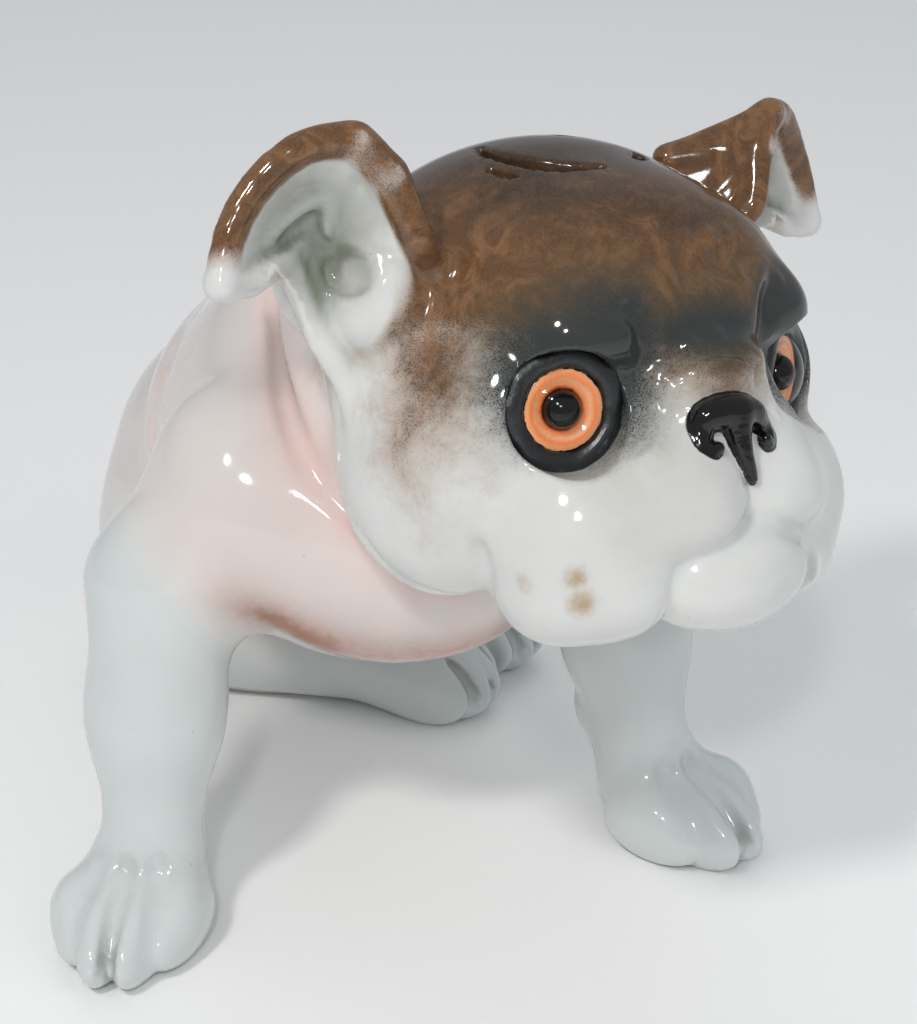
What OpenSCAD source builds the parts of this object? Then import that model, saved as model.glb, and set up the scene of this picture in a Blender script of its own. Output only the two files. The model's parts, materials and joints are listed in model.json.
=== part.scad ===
// Seated bulldog night light in glazed porcelain: slip-cast sections luted together,
// glass eyes bedded in black putty, and a small lamp that lifts into the open rump.
// Millimetres, +Z up, the dog looks towards -Y and its left side is +X.

/* [Figure] */
// Height of the figure, from the table to the top of the ears
figure_h = 160; // [130:1:200]
// Distance between the middles of the two front paws
stance_w = 113; // [100:1:135]
// Wall of the hollow castings
wall_t = 3.4; // [2.6:0.1:4.5]

/* [Head] */
// Width of the skull across the temples
skull_w = 86; // [72:1:100]
// Turn of the head to the dog's left, in degrees
head_yaw = 25; // [0:1:32]
// Lift of the muzzle, in degrees
head_lift = 11; // [0:1:20]
// Tilt of the head to the dog's left, in degrees
head_tilt = 8; // [0:1:12]
// Length of each ear from root to tip
ear_len = 40; // [32:1:48]
// Width of the air slots in the crown
slot_w = 3.2; // [2:0.1:4.2]

/* [Eyes] */
// Diameter of the glass eye
eye_d = 14; // [11:0.5:16]
// Width of the black putty ring round the glass
putty_w = 3.2; // [2:0.1:4]
// Diameter of the pupil bead
pupil_d = 6.2; // [4:0.1:8]
// Height of the glass dome over the iris
dome_h = 3.6; // [2:0.1:5]

/* [Lamp] */
// Diameter of the lamp opening in the underside
opening_d = 50; // [46:1:60]
// Thickness of the sheet metal plate
plate_t = 1; // [0.6:0.1:1.6]
// Height of the plate above the table
plate_z = 2.2; // [1.5:0.1:5]
// Outside diameter of the lampholder
holder_d = 26; // [22:1:32]
// Height of the lampholder
holder_h = 26; // [22:1:32]
// Diameter of the bulb's screw cap
cap_d = 13.8; // [11:0.1:16]
// Length of the bulb's screw cap
cap_h = 18; // [14:1:22]
// Diameter of the bulb's glass
bulb_d = 22; // [16:1:28]
// Length of the bulb's glass above the cap
bulb_h = 30; // [24:1:34]

/* [Cable entry] */
// Bore of the rubber bush
bush_bore_d = 6.4; // [5:0.1:8]
// Outside diameter of the bush where it passes through the wall
bush_d = 10; // [9:0.1:12]
// Height of the bush above the table
bush_z = 14; // [12:1:18]

/* [Hidden] */

// The figure is drawn at a height of 160 and scaled to figure_h.
k = figure_h / 160;
fit = 0.1;       // gap where one piece seats in another
clear = 0.4;     // gap round what slides or turns
blob_fn = 26;    // facets of a swelling on the outside
core_fn = 18;    // facets of a swelling inside the hollow
$fn = 48;

// The middle of the figure's footprint in the layout that the sizes below use.
layout_centre = [4.47, 3.2] * k;

// Lamp axis and the rump that stands round it
lamp = [-9 * k, 72 * k, 0];
foot_ring_w = 5.6;
rump_ring_r = opening_d / 2 + foot_ring_w;
rump_ring_h = 24;
foot_ring_t = 8;

// Trunk swellings: middle, half size
chest = [[-4, -20, 77], [44, 33, 34]];
shoulder_right = [[-35, -24, 78], [17, 21, 27]];
shoulder_left = [[27, -24, 78], [17, 21, 27]];
barrel = [[-7, 22, 72], [39, 46, 38]];
withers = [[0, 4, 95], [34, 32, 28]];
neck = [[13, -26, 102], [35, 32, 32]];
rump_top = [[-10, 66, 46], [38, 37, 39]];

// Front legs: the same leg on both sides, at half the stance from the middle line
stance_mid = -4;
paw_x = stance_w / 2;
paw_yaw = 24;

// Hind legs lie to the dog's left, as in a lazy sit
thigh_right = [[-37, 62, 31], [16, 26, 27]];
thigh_left = [[18, 68, 30], [15, 25, 26]];

// Head frame and swellings, in the head's own axes at a skull width of 86
hk = skull_w / 86 * k;
head_at = [20.5, -54, 112.8] * k;
skull = [[0, 7, 9], [42, 38, 34]];
brow = [[0, -17, 14], [31, 19, 21]];
cheek = [[30, 0, -10], [15, 22, 24]];
muzzle = [[0, -27, -12], [30, 18, 16]];
flew = [[24, -26, -21], [16, 16, 18]];
orbit = [[25, -18, 0], [15, 10.5, 14]];
chin = [[0, -36, -29], [18, 12, 11]];
nose = [[0, -39, 0], [10, 6, 6]];
ear_root = [38, 3, 26];
eye_at = [26.5, -27.5, 1];
eye_out = 23;    // how far each eye looks outwards, in degrees
socket_open = 1.4;
throat_r = 15 * k;

// Eye: places along its axis, from the plane of the putty ring
iris_back = -3;
iris_front = -0.6;
lens_back = -0.4;

// Lamp heights
plate_top = plate_z + plate_t;
plate_r = opening_d / 2 - clear;
bracket_t = 1.2;
bracket_w = 10;
holder_z = plate_top + 4;
holder_wall = 2.4;
thread_t = 0.4;
cap_z = holder_z + holder_h - cap_h + 1;
glass_z = cap_z + cap_h;
screw_d = 3;
rivet_d = 2.4;
spring_w = 6;
spring_t = 0.4;
spring_h = 16;
spring_count = 3;
plate_holes = 4;
plate_hole_d = 5;
contact_d = 5;

// Bush in the wall behind the lamp
bush_lip = 2;
bush_lip_t = 1.4;
bush_face_y = rump_ring_r - 0.8;
bush_depth = bush_face_y - opening_d / 2 - clear / 2;

module placed() translate([-layout_centre.x, -layout_centre.y, 0]) children();
module at_lamp() placed() translate(lamp) children();
module in_head() placed() translate(head_at) rotate([0, 0, head_yaw]) rotate([-head_lift, 0, 0])
    rotate([0, head_tilt, 0]) children();
module at_eye(side) in_head() translate([side * eye_at.x * hk, eye_at.y * hk, eye_at.z * hk])
    rotate([0, 0, side * eye_out]) rotate([90, 0, 0]) children();

// One swelling: an ellipsoid of half size form[1] less inset, about form[0]
module blob(form, inset = 0, size = 1, facets = blob_fn)
    translate(form[0] * size) hull()
        scale([for (r = form[1]) max(r * size - inset, 1)]) sphere(r = 1, $fn = facets);
module mirrored_blob(form, inset = 0, size = 1, facets = blob_fn) {
    blob(form, inset, size, facets);
    mirror([1, 0, 0]) blob(form, inset, size, facets);
}
// A limb between two round ends
module limb(a, ra, b, rb, facets = 18) hull() {
    translate(a) sphere(r = ra, $fn = facets);
    translate(b) sphere(r = rb, $fn = facets);
}

module trunk_form(inset = 0, facets = blob_fn) {
    for (form = [chest, shoulder_right, shoulder_left, barrel, withers, neck])
        blob(form, inset, k, facets);
    hull() {
        blob(rump_top, inset, k, facets);
        translate([lamp.x, lamp.y, inset > 0 ? foot_ring_t : 0])
            cylinder(r = rump_ring_r - inset, h = rump_ring_h - foot_ring_t, $fn = 40);
    }
}
module trunk_solid() intersection() {
    trunk_form();
    translate([-200, -200, 0]) cube(400);
}
module head_form(inset = 0, facets = blob_fn) {
    blob(skull, inset, hk, facets);
    blob(brow, inset, hk, facets);
    mirrored_blob(cheek, inset, hk, facets);
    blob(muzzle, inset, hk, facets);
    mirrored_blob(flew, inset, hk, facets);
    mirrored_blob(orbit, inset, hk, facets);
    blob(chin, inset, hk, facets);
    if (inset == 0) blob(nose, 0, hk, facets);
}
// The way for light and warm air from the trunk to the head
module throat_passage() placed() limb([8, 4, 84] * k, throat_r, head_at, throat_r, core_fn);
module bush_hole(r, length) at_lamp() translate([0, bush_face_y - length, bush_z]) rotate([-90, 0, 0])
    cylinder(r = r, h = length + 10);
module lamp_opening() at_lamp() translate([0, 0, -1]) cylinder(r = opening_d / 2, h = rump_ring_h, $fn = 72);

module torso_casting() color("mistyrose") difference() {
    placed() trunk_solid();
    placed() trunk_form(wall_t, core_fn);
    throat_passage();
    lamp_opening();
    bush_hole(bush_d / 2 + fit, 16);
    at_lamp() translate([0, bush_face_y, bush_z]) rotate([-90, 0, 0])
        cylinder(r = bush_d / 2 + bush_lip + fit, h = 10);
}
module air_slots() in_head() {
    slots = [[0, 6, 15], [-12, 10, 8], [12, 10, 8], [-9, -3, 6], [9, -3, 6], [0, 17, 9]];
    for (s = slots)
        translate([s.x * hk, s.y * hk, 26 * hk]) hull() for (end = [-1, 1])
            translate([end * (s.z * hk - slot_w) / 2, 0, 0]) cylinder(r = slot_w / 2, h = 30, $fn = 16);
}
module head_casting() color("saddlebrown") difference() {
    in_head() head_form();
    placed() trunk_solid();
    in_head() {
        blob(skull, wall_t, hk, core_fn);
        blob(brow, wall_t, hk, core_fn);
        mirrored_blob(cheek, wall_t, hk, core_fn);
        blob(muzzle, wall_t, hk, core_fn);
    }
    throat_passage();
    air_slots();
    for (side = [-1, 1]) at_eye(side)
        eye_socket();
}
// A shallow seat for the putty, and a hole behind the glass through to the hollow
module eye_socket() {
    translate([0, 0, iris_back]) cylinder(r = eye_d / 2 + putty_w + fit, h = 14, $fn = 36);
    translate([0, 0, iris_back - 12]) cylinder(r = eye_d / 2 - socket_open, h = 20, $fn = 36);
}
module ear(side) color("sienna") difference() {
    in_head() mirror([side < 0 ? 1 : 0, 0, 0]) translate(ear_root * hk) scale(ear_len / 40 * hk) {
        hull() {
            translate([-7, 10, 8]) sphere(r = 4, $fn = 16);
            translate([10, -5, 15]) sphere(r = 3.4, $fn = 16);
            translate([5, 1, -14]) sphere(r = 5, $fn = 16);
        }
        hull() {
            translate([10, -5, 15]) sphere(r = 3.4, $fn = 16);
            translate([31, 2, -4]) sphere(r = 3.2, $fn = 16);
            translate([5, 1, -14]) sphere(r = 5, $fn = 16);
        }
    }
    in_head() head_form();
    placed() trunk_solid();
}
module foreleg(side) color("white") difference() {
    placed() translate([stance_mid, 0, 0]) mirror([side < 0 ? 1 : 0, 0, 0]) intersection() {
        union() {
            limb([paw_x - 12 * k, -26 * k, 66 * k], 15 * k, [paw_x - 10 * k, -33 * k, 42 * k], 12 * k);
            limb([paw_x - 10 * k, -33 * k, 42 * k], 12 * k, [paw_x - 6 * k, -37 * k, 15 * k], 9.8 * k);
            translate([paw_x, -45 * k, 9 * k]) rotate([0, 0, paw_yaw]) blob([[0, 0, 0], [15, 20, 10.5]], 0, k);
        }
        translate([-200, -200, 0]) cube(400);
    }
    placed() trunk_solid();
}
module hind_leg(thigh, heel, toe, paw_half) color("whitesmoke") difference() {
    placed() intersection() {
        union() {
            blob(thigh, 0, k);
            limb(heel * k, 13 * k, toe * k, 9.5 * k);
            translate(toe * k) rotate([0, 0, 48]) blob([[0, -3, -0.5], paw_half], 0, k);
        }
        translate([-200, -200, 0]) cube(400);
    }
    placed() trunk_solid();
}
module hind_leg_right() hind_leg(thigh_right, [-27, 50, 13], [15, 28, 9.5], [12, 14, 10]);
module hind_leg_left() difference() {
    hind_leg(thigh_left, [20, 62, 13], [35, 41, 9.5], [11, 13, 10]);
    hind_leg_right();
}
module tail() color("peachpuff") difference() {
    placed() union() {
        limb([-12, 95, 46] * k, 8 * k, [-13, 105, 51] * k, 6.5 * k);
        limb([-13, 105, 51] * k, 6.5 * k, [-9, 109, 57] * k, 5 * k);
    }
    placed() trunk_solid();
}

module eye_putty(side) color("black") at_eye(side) rotate_extrude() difference() {
    union() {
        translate([eye_d / 2 + fit, iris_back]) square([putty_w - fit, -iris_back]);
        translate([eye_d / 2 + fit + (putty_w - fit) / 2, 0]) circle(r = (putty_w - fit) / 2);
    }
    translate([0, -20]) square([eye_d / 2 + fit, 40]);
}
module eye_iris(side) color("darkorange") at_eye(side) rotate_extrude()
    polygon([[pupil_d / 2 + fit, iris_back], [eye_d / 2, iris_back], [eye_d / 2, iris_front],
        [pupil_d / 2 + fit, iris_front - 1]]);
module eye_pupil(side) color("black") at_eye(side) rotate_extrude() intersection() {
    translate([0, iris_back]) square([pupil_d / 2, 20]);
    union() {
        translate([0, iris_back]) square([pupil_d / 2, iris_front - 1 - iris_back]);
        translate([0, iris_front - 1]) circle(r = pupil_d / 2);
    }
}
module eye_glass(side) color("lightcyan", 0.4) at_eye(side) rotate_extrude() difference() {
    intersection() {
        dome_r = (pow(eye_d / 2, 2) + pow(dome_h, 2)) / (2 * dome_h);
        translate([0, lens_back + dome_h - dome_r]) circle(r = dome_r, $fn = 96);
        translate([0, lens_back]) square([eye_d / 2, 20]);
    }
    translate([0, iris_front - 1]) circle(r = pupil_d / 2 + fit);
}

module cable_bush() color("dimgray") at_lamp() translate([0, bush_face_y, bush_z]) rotate([-90, 0, 0])
    difference() {
        union() {
            translate([0, 0, -bush_depth]) cylinder(d = bush_d, h = bush_depth + bush_lip_t);
            cylinder(r = bush_d / 2 + bush_lip, h = bush_lip_t);
        }
        translate([0, 0, -20]) cylinder(d = bush_bore_d, h = 40);
    }

module base_plate() color("goldenrod") at_lamp() difference() {
    union() {
        translate([0, 0, plate_z]) cylinder(r = plate_r, h = plate_t);
        translate([0, 0, plate_top]) difference() {
            cylinder(r = plate_r, h = 3);
            translate([0, 0, -1]) cylinder(r = plate_r - plate_t, h = 5);
        }
    }
    for (i = [0 : plate_holes - 1]) rotate((i + 0.5) * 360 / plate_holes)
        translate([plate_r / 2, 0, 0]) cylinder(d = plate_hole_d, h = 20);
    for (side = [-1, 1]) translate([side * bracket_hole_x, 0, 0]) cylinder(d = screw_d + 2 * fit, h = 20);
    for (i = [0 : spring_count - 1]) rotate(i * 360 / spring_count - 90)
        translate([rivet_x, 0, 0]) cylinder(d = rivet_d + 2 * fit, h = 20);
}
bracket_hole_x = holder_d / 2 + 3;
rivet_x = plate_r - plate_t - 4;
spring_foot = 2.4;
spring_x = plate_r - plate_t - spring_t - fit;
// The springs' widest place clears the opening at their corners.
spring_reach = sqrt(pow(opening_d / 2 - clear, 2) - pow(spring_w / 2, 2));
module plate_springs() color("khaki") at_lamp() for (i = [0 : spring_count - 1])
    rotate(i * 360 / spring_count - 90) difference() {
        translate([0, -spring_w / 2, plate_top]) rotate([-90, 0, 0]) mirror([0, 1, 0])
            linear_extrude(spring_w) union() {
                translate([rivet_x - spring_foot, 0]) square([spring_x - rivet_x + spring_foot, spring_t]);
                polygon([[spring_x - spring_t, 0], [spring_x, 0], [spring_x, 4],
                    [spring_reach, spring_h * 0.6], [spring_x - 1.2, spring_h],
                    [spring_x - 1.2 - spring_t, spring_h], [spring_reach - spring_t, spring_h * 0.6],
                    [spring_x - spring_t, 4]]);
            }
        translate([rivet_x, 0, 0]) cylinder(d = rivet_d + 2 * fit, h = 20);
    }
module plate_rivets() color("gold") at_lamp() for (i = [0 : spring_count - 1])
    rotate(i * 360 / spring_count - 90) translate([rivet_x, 0, 0]) {
        translate([0, 0, plate_z - 0.8]) cylinder(d = rivet_d + 1.6, h = 0.8);
        translate([0, 0, plate_z]) cylinder(d = rivet_d, h = plate_t + spring_t);
        translate([0, 0, plate_top + spring_t]) cylinder(d = rivet_d + 1.6, h = 0.8);
    }
module holder_bracket() color("silver") at_lamp() difference() {
    union() {
        for (side = [-1, 1]) {
            translate([side * bracket_hole_x - 4, -bracket_w / 2, plate_top]) cube([8, bracket_w, bracket_t]);
            translate([side * (bracket_hole_x - 4) - bracket_t / 2, -bracket_w / 2, plate_top])
                cube([bracket_t, bracket_w, holder_z - plate_top]);
        }
        translate([-bracket_hole_x + 4 - bracket_t / 2, -bracket_w / 2, holder_z - bracket_t])
            cube([2 * (bracket_hole_x - 4) + bracket_t, bracket_w, bracket_t]);
    }
    for (side = [-1, 1]) translate([side * bracket_hole_x, 0, 0]) cylinder(d = screw_d + 2 * fit, h = 20);
    cylinder(d = 4, h = 40);
}
module bracket_screws() color("dimgray") at_lamp() for (side = [-1, 1]) translate([side * bracket_hole_x, 0, 0]) {
    translate([0, 0, plate_top + bracket_t]) difference() {
        cylinder(d = screw_d * 1.8, h = 1.8);
        translate([-5, -0.4, 1]) cube([10, 0.8, 2]);
    }
    translate([0, 0, plate_z - 1]) cylinder(d = screw_d, h = plate_t + bracket_t + 1);
}
module lampholder_body() color("ivory") at_lamp() translate([0, 0, holder_z]) difference() {
    union() {
        cylinder(d = holder_d * 0.8, h = holder_h * 0.35);
        translate([0, 0, holder_h * 0.35]) cylinder(d1 = holder_d * 0.8, d2 = holder_d, h = holder_h * 0.15);
        translate([0, 0, holder_h * 0.5]) cylinder(d = holder_d, h = holder_h * 0.5);
    }
    translate([0, 0, holder_wall]) cylinder(r = thread_r + thread_t + fit, h = holder_h);
}
thread_r = cap_d / 2 + clear;
module lampholder_thread() color("gold") at_lamp() translate([0, 0, holder_z + holder_wall + 2]) difference() {
    cylinder(r = thread_r + thread_t, h = holder_h - holder_wall - 3);
    translate([0, 0, -1]) cylinder(r = thread_r, h = holder_h);
}
module centre_contact() color("orange") at_lamp() translate([0, 0, holder_z + holder_wall])
    cylinder(d = contact_d, h = cap_z - holder_z - holder_wall - fit);
module bulb_cap() color("silver") at_lamp() translate([0, 0, cap_z]) rotate_extrude() {
    polygon(concat([[0, 0], [2.5, 0], [3, 1], [cap_d / 2 - 1.6, 3]],
        [for (i = [0 : 5]) each [[cap_d / 2 - 0.8, 3.4 + i * 2.2], [cap_d / 2, 4.5 + i * 2.2]]],
        [[cap_d / 2 - 0.8, cap_h - 1], [cap_d / 2 - 0.8, cap_h], [0, cap_h]]));
}
module bulb_glass() color("lightyellow", 0.4) at_lamp() translate([0, 0, glass_z]) rotate_extrude() difference() {
    bulb_profile(0);
    bulb_profile(0.8);
}
module bulb_profile(inset) {
    neck_r = cap_d / 2 - 1 - inset;
    body_r = bulb_d / 2 - inset;
    intersection() {
        translate([0, 0]) square([bulb_d, bulb_h * 2]);
        union() {
            translate([0, bulb_h - bulb_d / 2]) circle(r = body_r);
            translate([0, bulb_h - bulb_d / 2 - 8]) square([body_r, 8]);
            polygon([[0, inset], [neck_r, inset], [neck_r, 4], [body_r, bulb_h - bulb_d / 2 - 8],
                [0, bulb_h - bulb_d / 2 - 8]]);
        }
    }
}
module bulb_stem() color("gray") at_lamp() translate([0, 0, glass_z + 0.8 + fit]) {
    cylinder(d1 = 6, d2 = 2.4, h = bulb_h * 0.35);
    for (side = [-1, 1]) translate([side * 2, 0, 0]) cylinder(d = 0.5, h = bulb_h * 0.6, $fn = 16);
    translate([-4.5, 0, bulb_h * 0.6]) rotate([0, 90, 0]) cylinder(d = 0.7, h = 9, $fn = 16);
}

torso_casting();
head_casting();
ear(-1);  // ear_right
ear(1);  // ear_left
foreleg(-1);  // foreleg_right
foreleg(1);  // foreleg_left
hind_leg_right();
hind_leg_left();
tail();
eye_putty(-1);  // eye_putty_right
eye_putty(1);  // eye_putty_left
eye_iris(-1);  // eye_iris_right
eye_iris(1);  // eye_iris_left
eye_pupil(-1);  // eye_pupil_right
eye_pupil(1);  // eye_pupil_left
eye_glass(-1);  // eye_glass_right
eye_glass(1);  // eye_glass_left
cable_bush();
base_plate();
plate_springs();
plate_rivets();
holder_bracket();
bracket_screws();
lampholder_body();
lampholder_thread();
centre_contact();
bulb_cap();
bulb_glass();
bulb_stem();
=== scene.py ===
import json
import math

import bmesh
import bpy
import numpy as np
import openvdb
from mathutils import Matrix, Vector


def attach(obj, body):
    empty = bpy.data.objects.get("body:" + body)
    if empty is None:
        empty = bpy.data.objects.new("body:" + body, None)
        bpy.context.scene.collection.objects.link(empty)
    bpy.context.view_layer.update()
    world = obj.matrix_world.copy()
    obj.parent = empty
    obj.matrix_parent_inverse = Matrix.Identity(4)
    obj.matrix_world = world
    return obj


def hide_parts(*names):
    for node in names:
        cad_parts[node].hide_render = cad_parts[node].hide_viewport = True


bl_info = {
    "name": "Bulldog night light",
    "version": (1, 0, 0),
    "blender": (4, 5, 0),
    "location": "View3D > Sidebar > Bulldog",
    "description": "Models and glazes a hollow porcelain bulldog with glass eyes round its packed lamp",
    "category": "Add Mesh",
}

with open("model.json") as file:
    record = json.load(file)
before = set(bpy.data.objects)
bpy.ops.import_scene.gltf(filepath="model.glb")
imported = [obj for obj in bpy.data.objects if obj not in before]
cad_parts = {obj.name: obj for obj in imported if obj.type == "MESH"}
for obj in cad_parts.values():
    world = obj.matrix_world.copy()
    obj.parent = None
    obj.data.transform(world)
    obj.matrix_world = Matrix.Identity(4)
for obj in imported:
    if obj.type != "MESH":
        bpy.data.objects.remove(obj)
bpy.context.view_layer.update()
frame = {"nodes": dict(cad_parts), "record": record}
RECORD = frame["record"]
MM = 0.001

# The figure is modelled in millimetres in a maker's layout, with the lamp axis at LAMP.
# GRID_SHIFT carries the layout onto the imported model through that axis.
LAMP = np.array([-9.0, 72.0, 0.0])
LAMP_ROW = next(j for j in RECORD["behaviour"]["joints"] if j["name"] == "bulb_screw")["pos_m"]
GRID_SHIFT = np.array([LAMP_ROW[0] / MM, LAMP_ROW[1] / MM, 0.0]) - LAMP
RING_R = 30.6      # outside of the foot ring
OPENING_R = 25.0   # lamp opening
BUSH_Z = 14.0
BUSH_R = 5.1
WALL = 3.4


# ---------------------------------------------------------------- distance fields

def turn(yaw=0.0, lift=0.0, tilt=0.0):
    """Rotation matrix: tilt about Y, then lift about X, then yaw about Z, in degrees."""
    return np.array(Matrix.Rotation(math.radians(yaw), 3, "Z") @ Matrix.Rotation(math.radians(-lift), 3, "X")
                    @ Matrix.Rotation(math.radians(tilt), 3, "Y"))


def size_of(v):
    """Length of each row."""
    return np.sqrt(np.einsum("ij,ij->i", v, v))


def egg(p, centre, half, turned=None):
    """Distance to an ellipsoid of half size half, near enough for clay."""
    q = p - np.asarray(centre, float)
    if turned is not None:
        q = q @ turned
    half = np.asarray(half, float)
    k0 = size_of(q / half)
    k1 = size_of(q / half ** 2)
    return k0 * (k0 - 1.0) / np.maximum(k1, 1e-9)


def limb(p, a, ra, b, rb):
    """Distance to a roll of clay from a to b whose radius goes from ra to rb."""
    a, b = np.asarray(a, float), np.asarray(b, float)
    ab = b - a
    t = np.clip((p - a) @ ab / (ab @ ab), 0.0, 1.0)
    return size_of(p - a - t[:, None] * ab) - (ra + (rb - ra) * t)


def join(a, b, soft):
    """Union of two lumps with a fillet of about soft."""
    h = np.maximum(soft - np.abs(a - b), 0.0) / soft
    return np.minimum(a, b) - h * h * soft * 0.25


def cut(a, b, soft):
    """Lump a with b cut out of it, its edges eased by soft."""
    return -join(-a, b, soft)


def smooth_path(points, steps=4):
    """A Catmull-Rom curve through the points, with steps stretches between each pair."""
    pts = np.asarray(points, float)
    ends = np.vstack([2 * pts[0] - pts[1], pts, 2 * pts[-1] - pts[-2]])
    out = []
    for i in range(1, len(ends) - 2):
        p0, p1, p2, p3 = ends[i - 1:i + 3]
        for t in np.arange(steps) / steps:
            out.append(0.5 * (2 * p1 + (p2 - p0) * t + (2 * p0 - 5 * p1 + 4 * p2 - p3) * t * t
                              + (3 * p1 - p0 - 3 * p2 + p3) * t ** 3))
    out.append(pts[-1])
    return np.array(out)


def near(p, points, reach, fill, measure):
    """measure(p) where p is within reach of the points' box, and fill elsewhere."""
    pts = np.atleast_2d(np.asarray(points, float))
    inside = np.all((p > pts.min(0) - reach) & (p < pts.max(0) + reach), axis=1)
    out = np.full(len(p), float(fill))
    if inside.any():
        out[inside] = measure(p[inside])
    return out


def along(p, path, radii=None, steps=4):
    """Distance from p to a smooth curve, less a radius that goes through radii along it."""
    line = smooth_path(path, steps)
    if radii is None:
        radii = [0.0] * len(path)
    spots = np.linspace(0, len(path) - 1, len(line))
    r = np.interp(spots, np.arange(len(path)), radii)
    best = np.full(len(p), 1e9)
    for i in range(len(line) - 1):
        best = np.minimum(best, limb(p, line[i], r[i], line[i + 1], r[i + 1]))
    return best


def crease(p, path, width, depth, fade=1.5, steps=3):
    """How far a tool drawn along the path presses the surface in, tapering over fade widths at each end.

    A negative depth raises the surface."""
    def press(q):
        taper = 1.0
        for end in (path[0], path[-1]):
            taper = taper * (1 - np.exp(-(size_of(q - np.asarray(end, float)) / (fade * width)) ** 2))
        return depth * taper * np.exp(-(along(q, path, None, steps) / width) ** 2)
    return near(p, path, width * 3, 0.0, press)


def sheet_corner(p, a, b, c):
    """Distance to the flat triangle a, b, c."""
    a, b, c = (np.asarray(v, float) for v in (a, b, c))
    n = np.cross(b - a, a - c)
    inside = np.ones(len(p))
    best = np.full(len(p), 1e9)
    for u, v in ((a, b), (b, c), (c, a)):
        e = v - u
        w = p - u
        inside = np.where(w @ np.cross(e, n) < 0, 0.0, inside)
        t = np.clip(w @ e / (e @ e), 0.0, 1.0)
        d = w - t[:, None] * e
        best = np.minimum(best, np.einsum("ij,ij->i", d, d))
    flat = ((p - a) @ n) ** 2 / (n @ n)
    return np.sqrt(np.where(inside > 0, flat, best))


# ---------------------------------------------------------------- the clay: every casting as a distance field

HEAD_AT = np.array([20.5, -54.0, 112.8])
HEAD_TURN = turn(25, 11, 8)
EYE_AT = np.array([26.5, -27.5, 1.0])
EYE_OUT = 23.0     # how far each eye looks out to its side, in degrees
SEAT_R = 10.3      # seat for the putty, and the hole behind the glass
SEAT_DEPTH = 3.0
SEAT_HOLE_R = 5.6
PAW_X = 56.5       # from the middle of the stance to each fore paw
STANCE_MID = -4.0
LEG_SHIFT = {-1: (-3.0, 0.0, 0.0), 1: (0.0, 5.0, 0.0)}


def in_head(p):
    """Layout points in the head's axes: x to the dog's left, y back and z up."""
    return (p - HEAD_AT) @ HEAD_TURN


def from_head(q):
    """Points of the head's axes in the layout."""
    return np.asarray(q, float) @ HEAD_TURN.T + HEAD_AT


def eye_frame(side):
    """Middle of an eye's putty ring in the layout, and its axes as columns. The third axis looks out."""
    yaw = np.array(Matrix.Rotation(math.radians(side * EYE_OUT), 3, "Z")
                   @ Matrix.Rotation(math.pi / 2, 3, "X"))
    return from_head(EYE_AT * (side, 1, 1)), HEAD_TURN @ yaw


def trunk(p):
    """Chest, shoulders, barrel, neck and the round rump on its foot ring."""
    d = egg(p, (-4, -20, 78), (39, 33, 33))
    d = join(d, egg(p, (-4, -35, 78), (33, 17, 22)), 8)
    for x in (-35, 27):
        d = join(d, egg(p, (x, -24, 83.5), (17, 21, 22)), 7)
    d = join(d, egg(p, (-7, 22, 72), (39, 46, 38)), 14)
    d = join(d, egg(p, (0, 4, 95), (34, 32, 28)), 14)
    d = join(d, egg(p, (13, -26, 102), (35, 32, 32)), 10)
    rump = egg(p, (-10, 66, 46), (38, 37, 39))
    q = p - LAMP
    ring = np.maximum(np.hypot(q[:, 0], q[:, 1]) - RING_R, np.abs(p[:, 2] - 13) - 13)
    d = join(d, join(rump, ring, 16), 12)
    # Spine, ribs and the crease between the shoulder and the barrel
    d += crease(p, [(4, 34, 106), (-4, 58, 88), (-9, 84, 74), (-10, 99, 58)], 5.5, 1.5)
    for side in (-1, 1):
        for i in range(3):
            x, y = -7 + side * 38, 14 + 10 * i
            d += crease(p, [(x - side * 7, y - 3, 94 - 4 * i), (x, y, 76 - 3 * i),
                            (x - side * 5, y + 4, 54)], 3.0, 0.5)
    return d


def neck_folds(p):
    """Grooves pressed into the skin of the neck, shoulder and chest."""
    d = crease(p, [(-14, 14, 122), (-22, -2, 115), (-23, -10, 110.5), (-26, -30, 104.5), (-24, -44, 96),
                   (-15, -52, 86), (-5, -55, 77), (6, -56, 72)], 2.4, 2.6)
    d += crease(p, [(-11, 2, 121), (-17, -8, 115), (-19, -28, 107), (-18, -42, 97)], 1.8, 1.4)
    d -= crease(p, [(-20, -4, 117), (-23, -28, 108), (-21, -45, 95), (-11, -53, 83)], 2.6, 1.3)
    d += crease(p, [(-34, 30, 101), (-43, 25, 90), (-46, 22, 80), (-49, 10, 68), (-51, -12, 62),
                    (-50, -30, 64)], 4.0, 1.7)
    d += crease(p, [(30, 22, 99), (35, 20, 88), (38, 16, 76), (40, 4, 66), (41, -12, 62)], 4.0, 1.5)
    d += crease(p, [(40, -2, 118), (46, -20, 108), (44, -38, 96), (32, -50, 84), (18, -56, 76)], 2.4, 2.2)
    # The breast bone, and the roll of skin that hangs between the forelegs
    d += crease(p, [(-4, -53, 78), (-4, -55, 68), (-5, -48, 52)], 4.0, 0.8)
    d -= crease(p, [(-33, -39, 67), (-24, -44, 62), (-10, -45, 56), (4, -45, 56), (17, -42, 62)], 4.0, 1.4)
    return d


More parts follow.
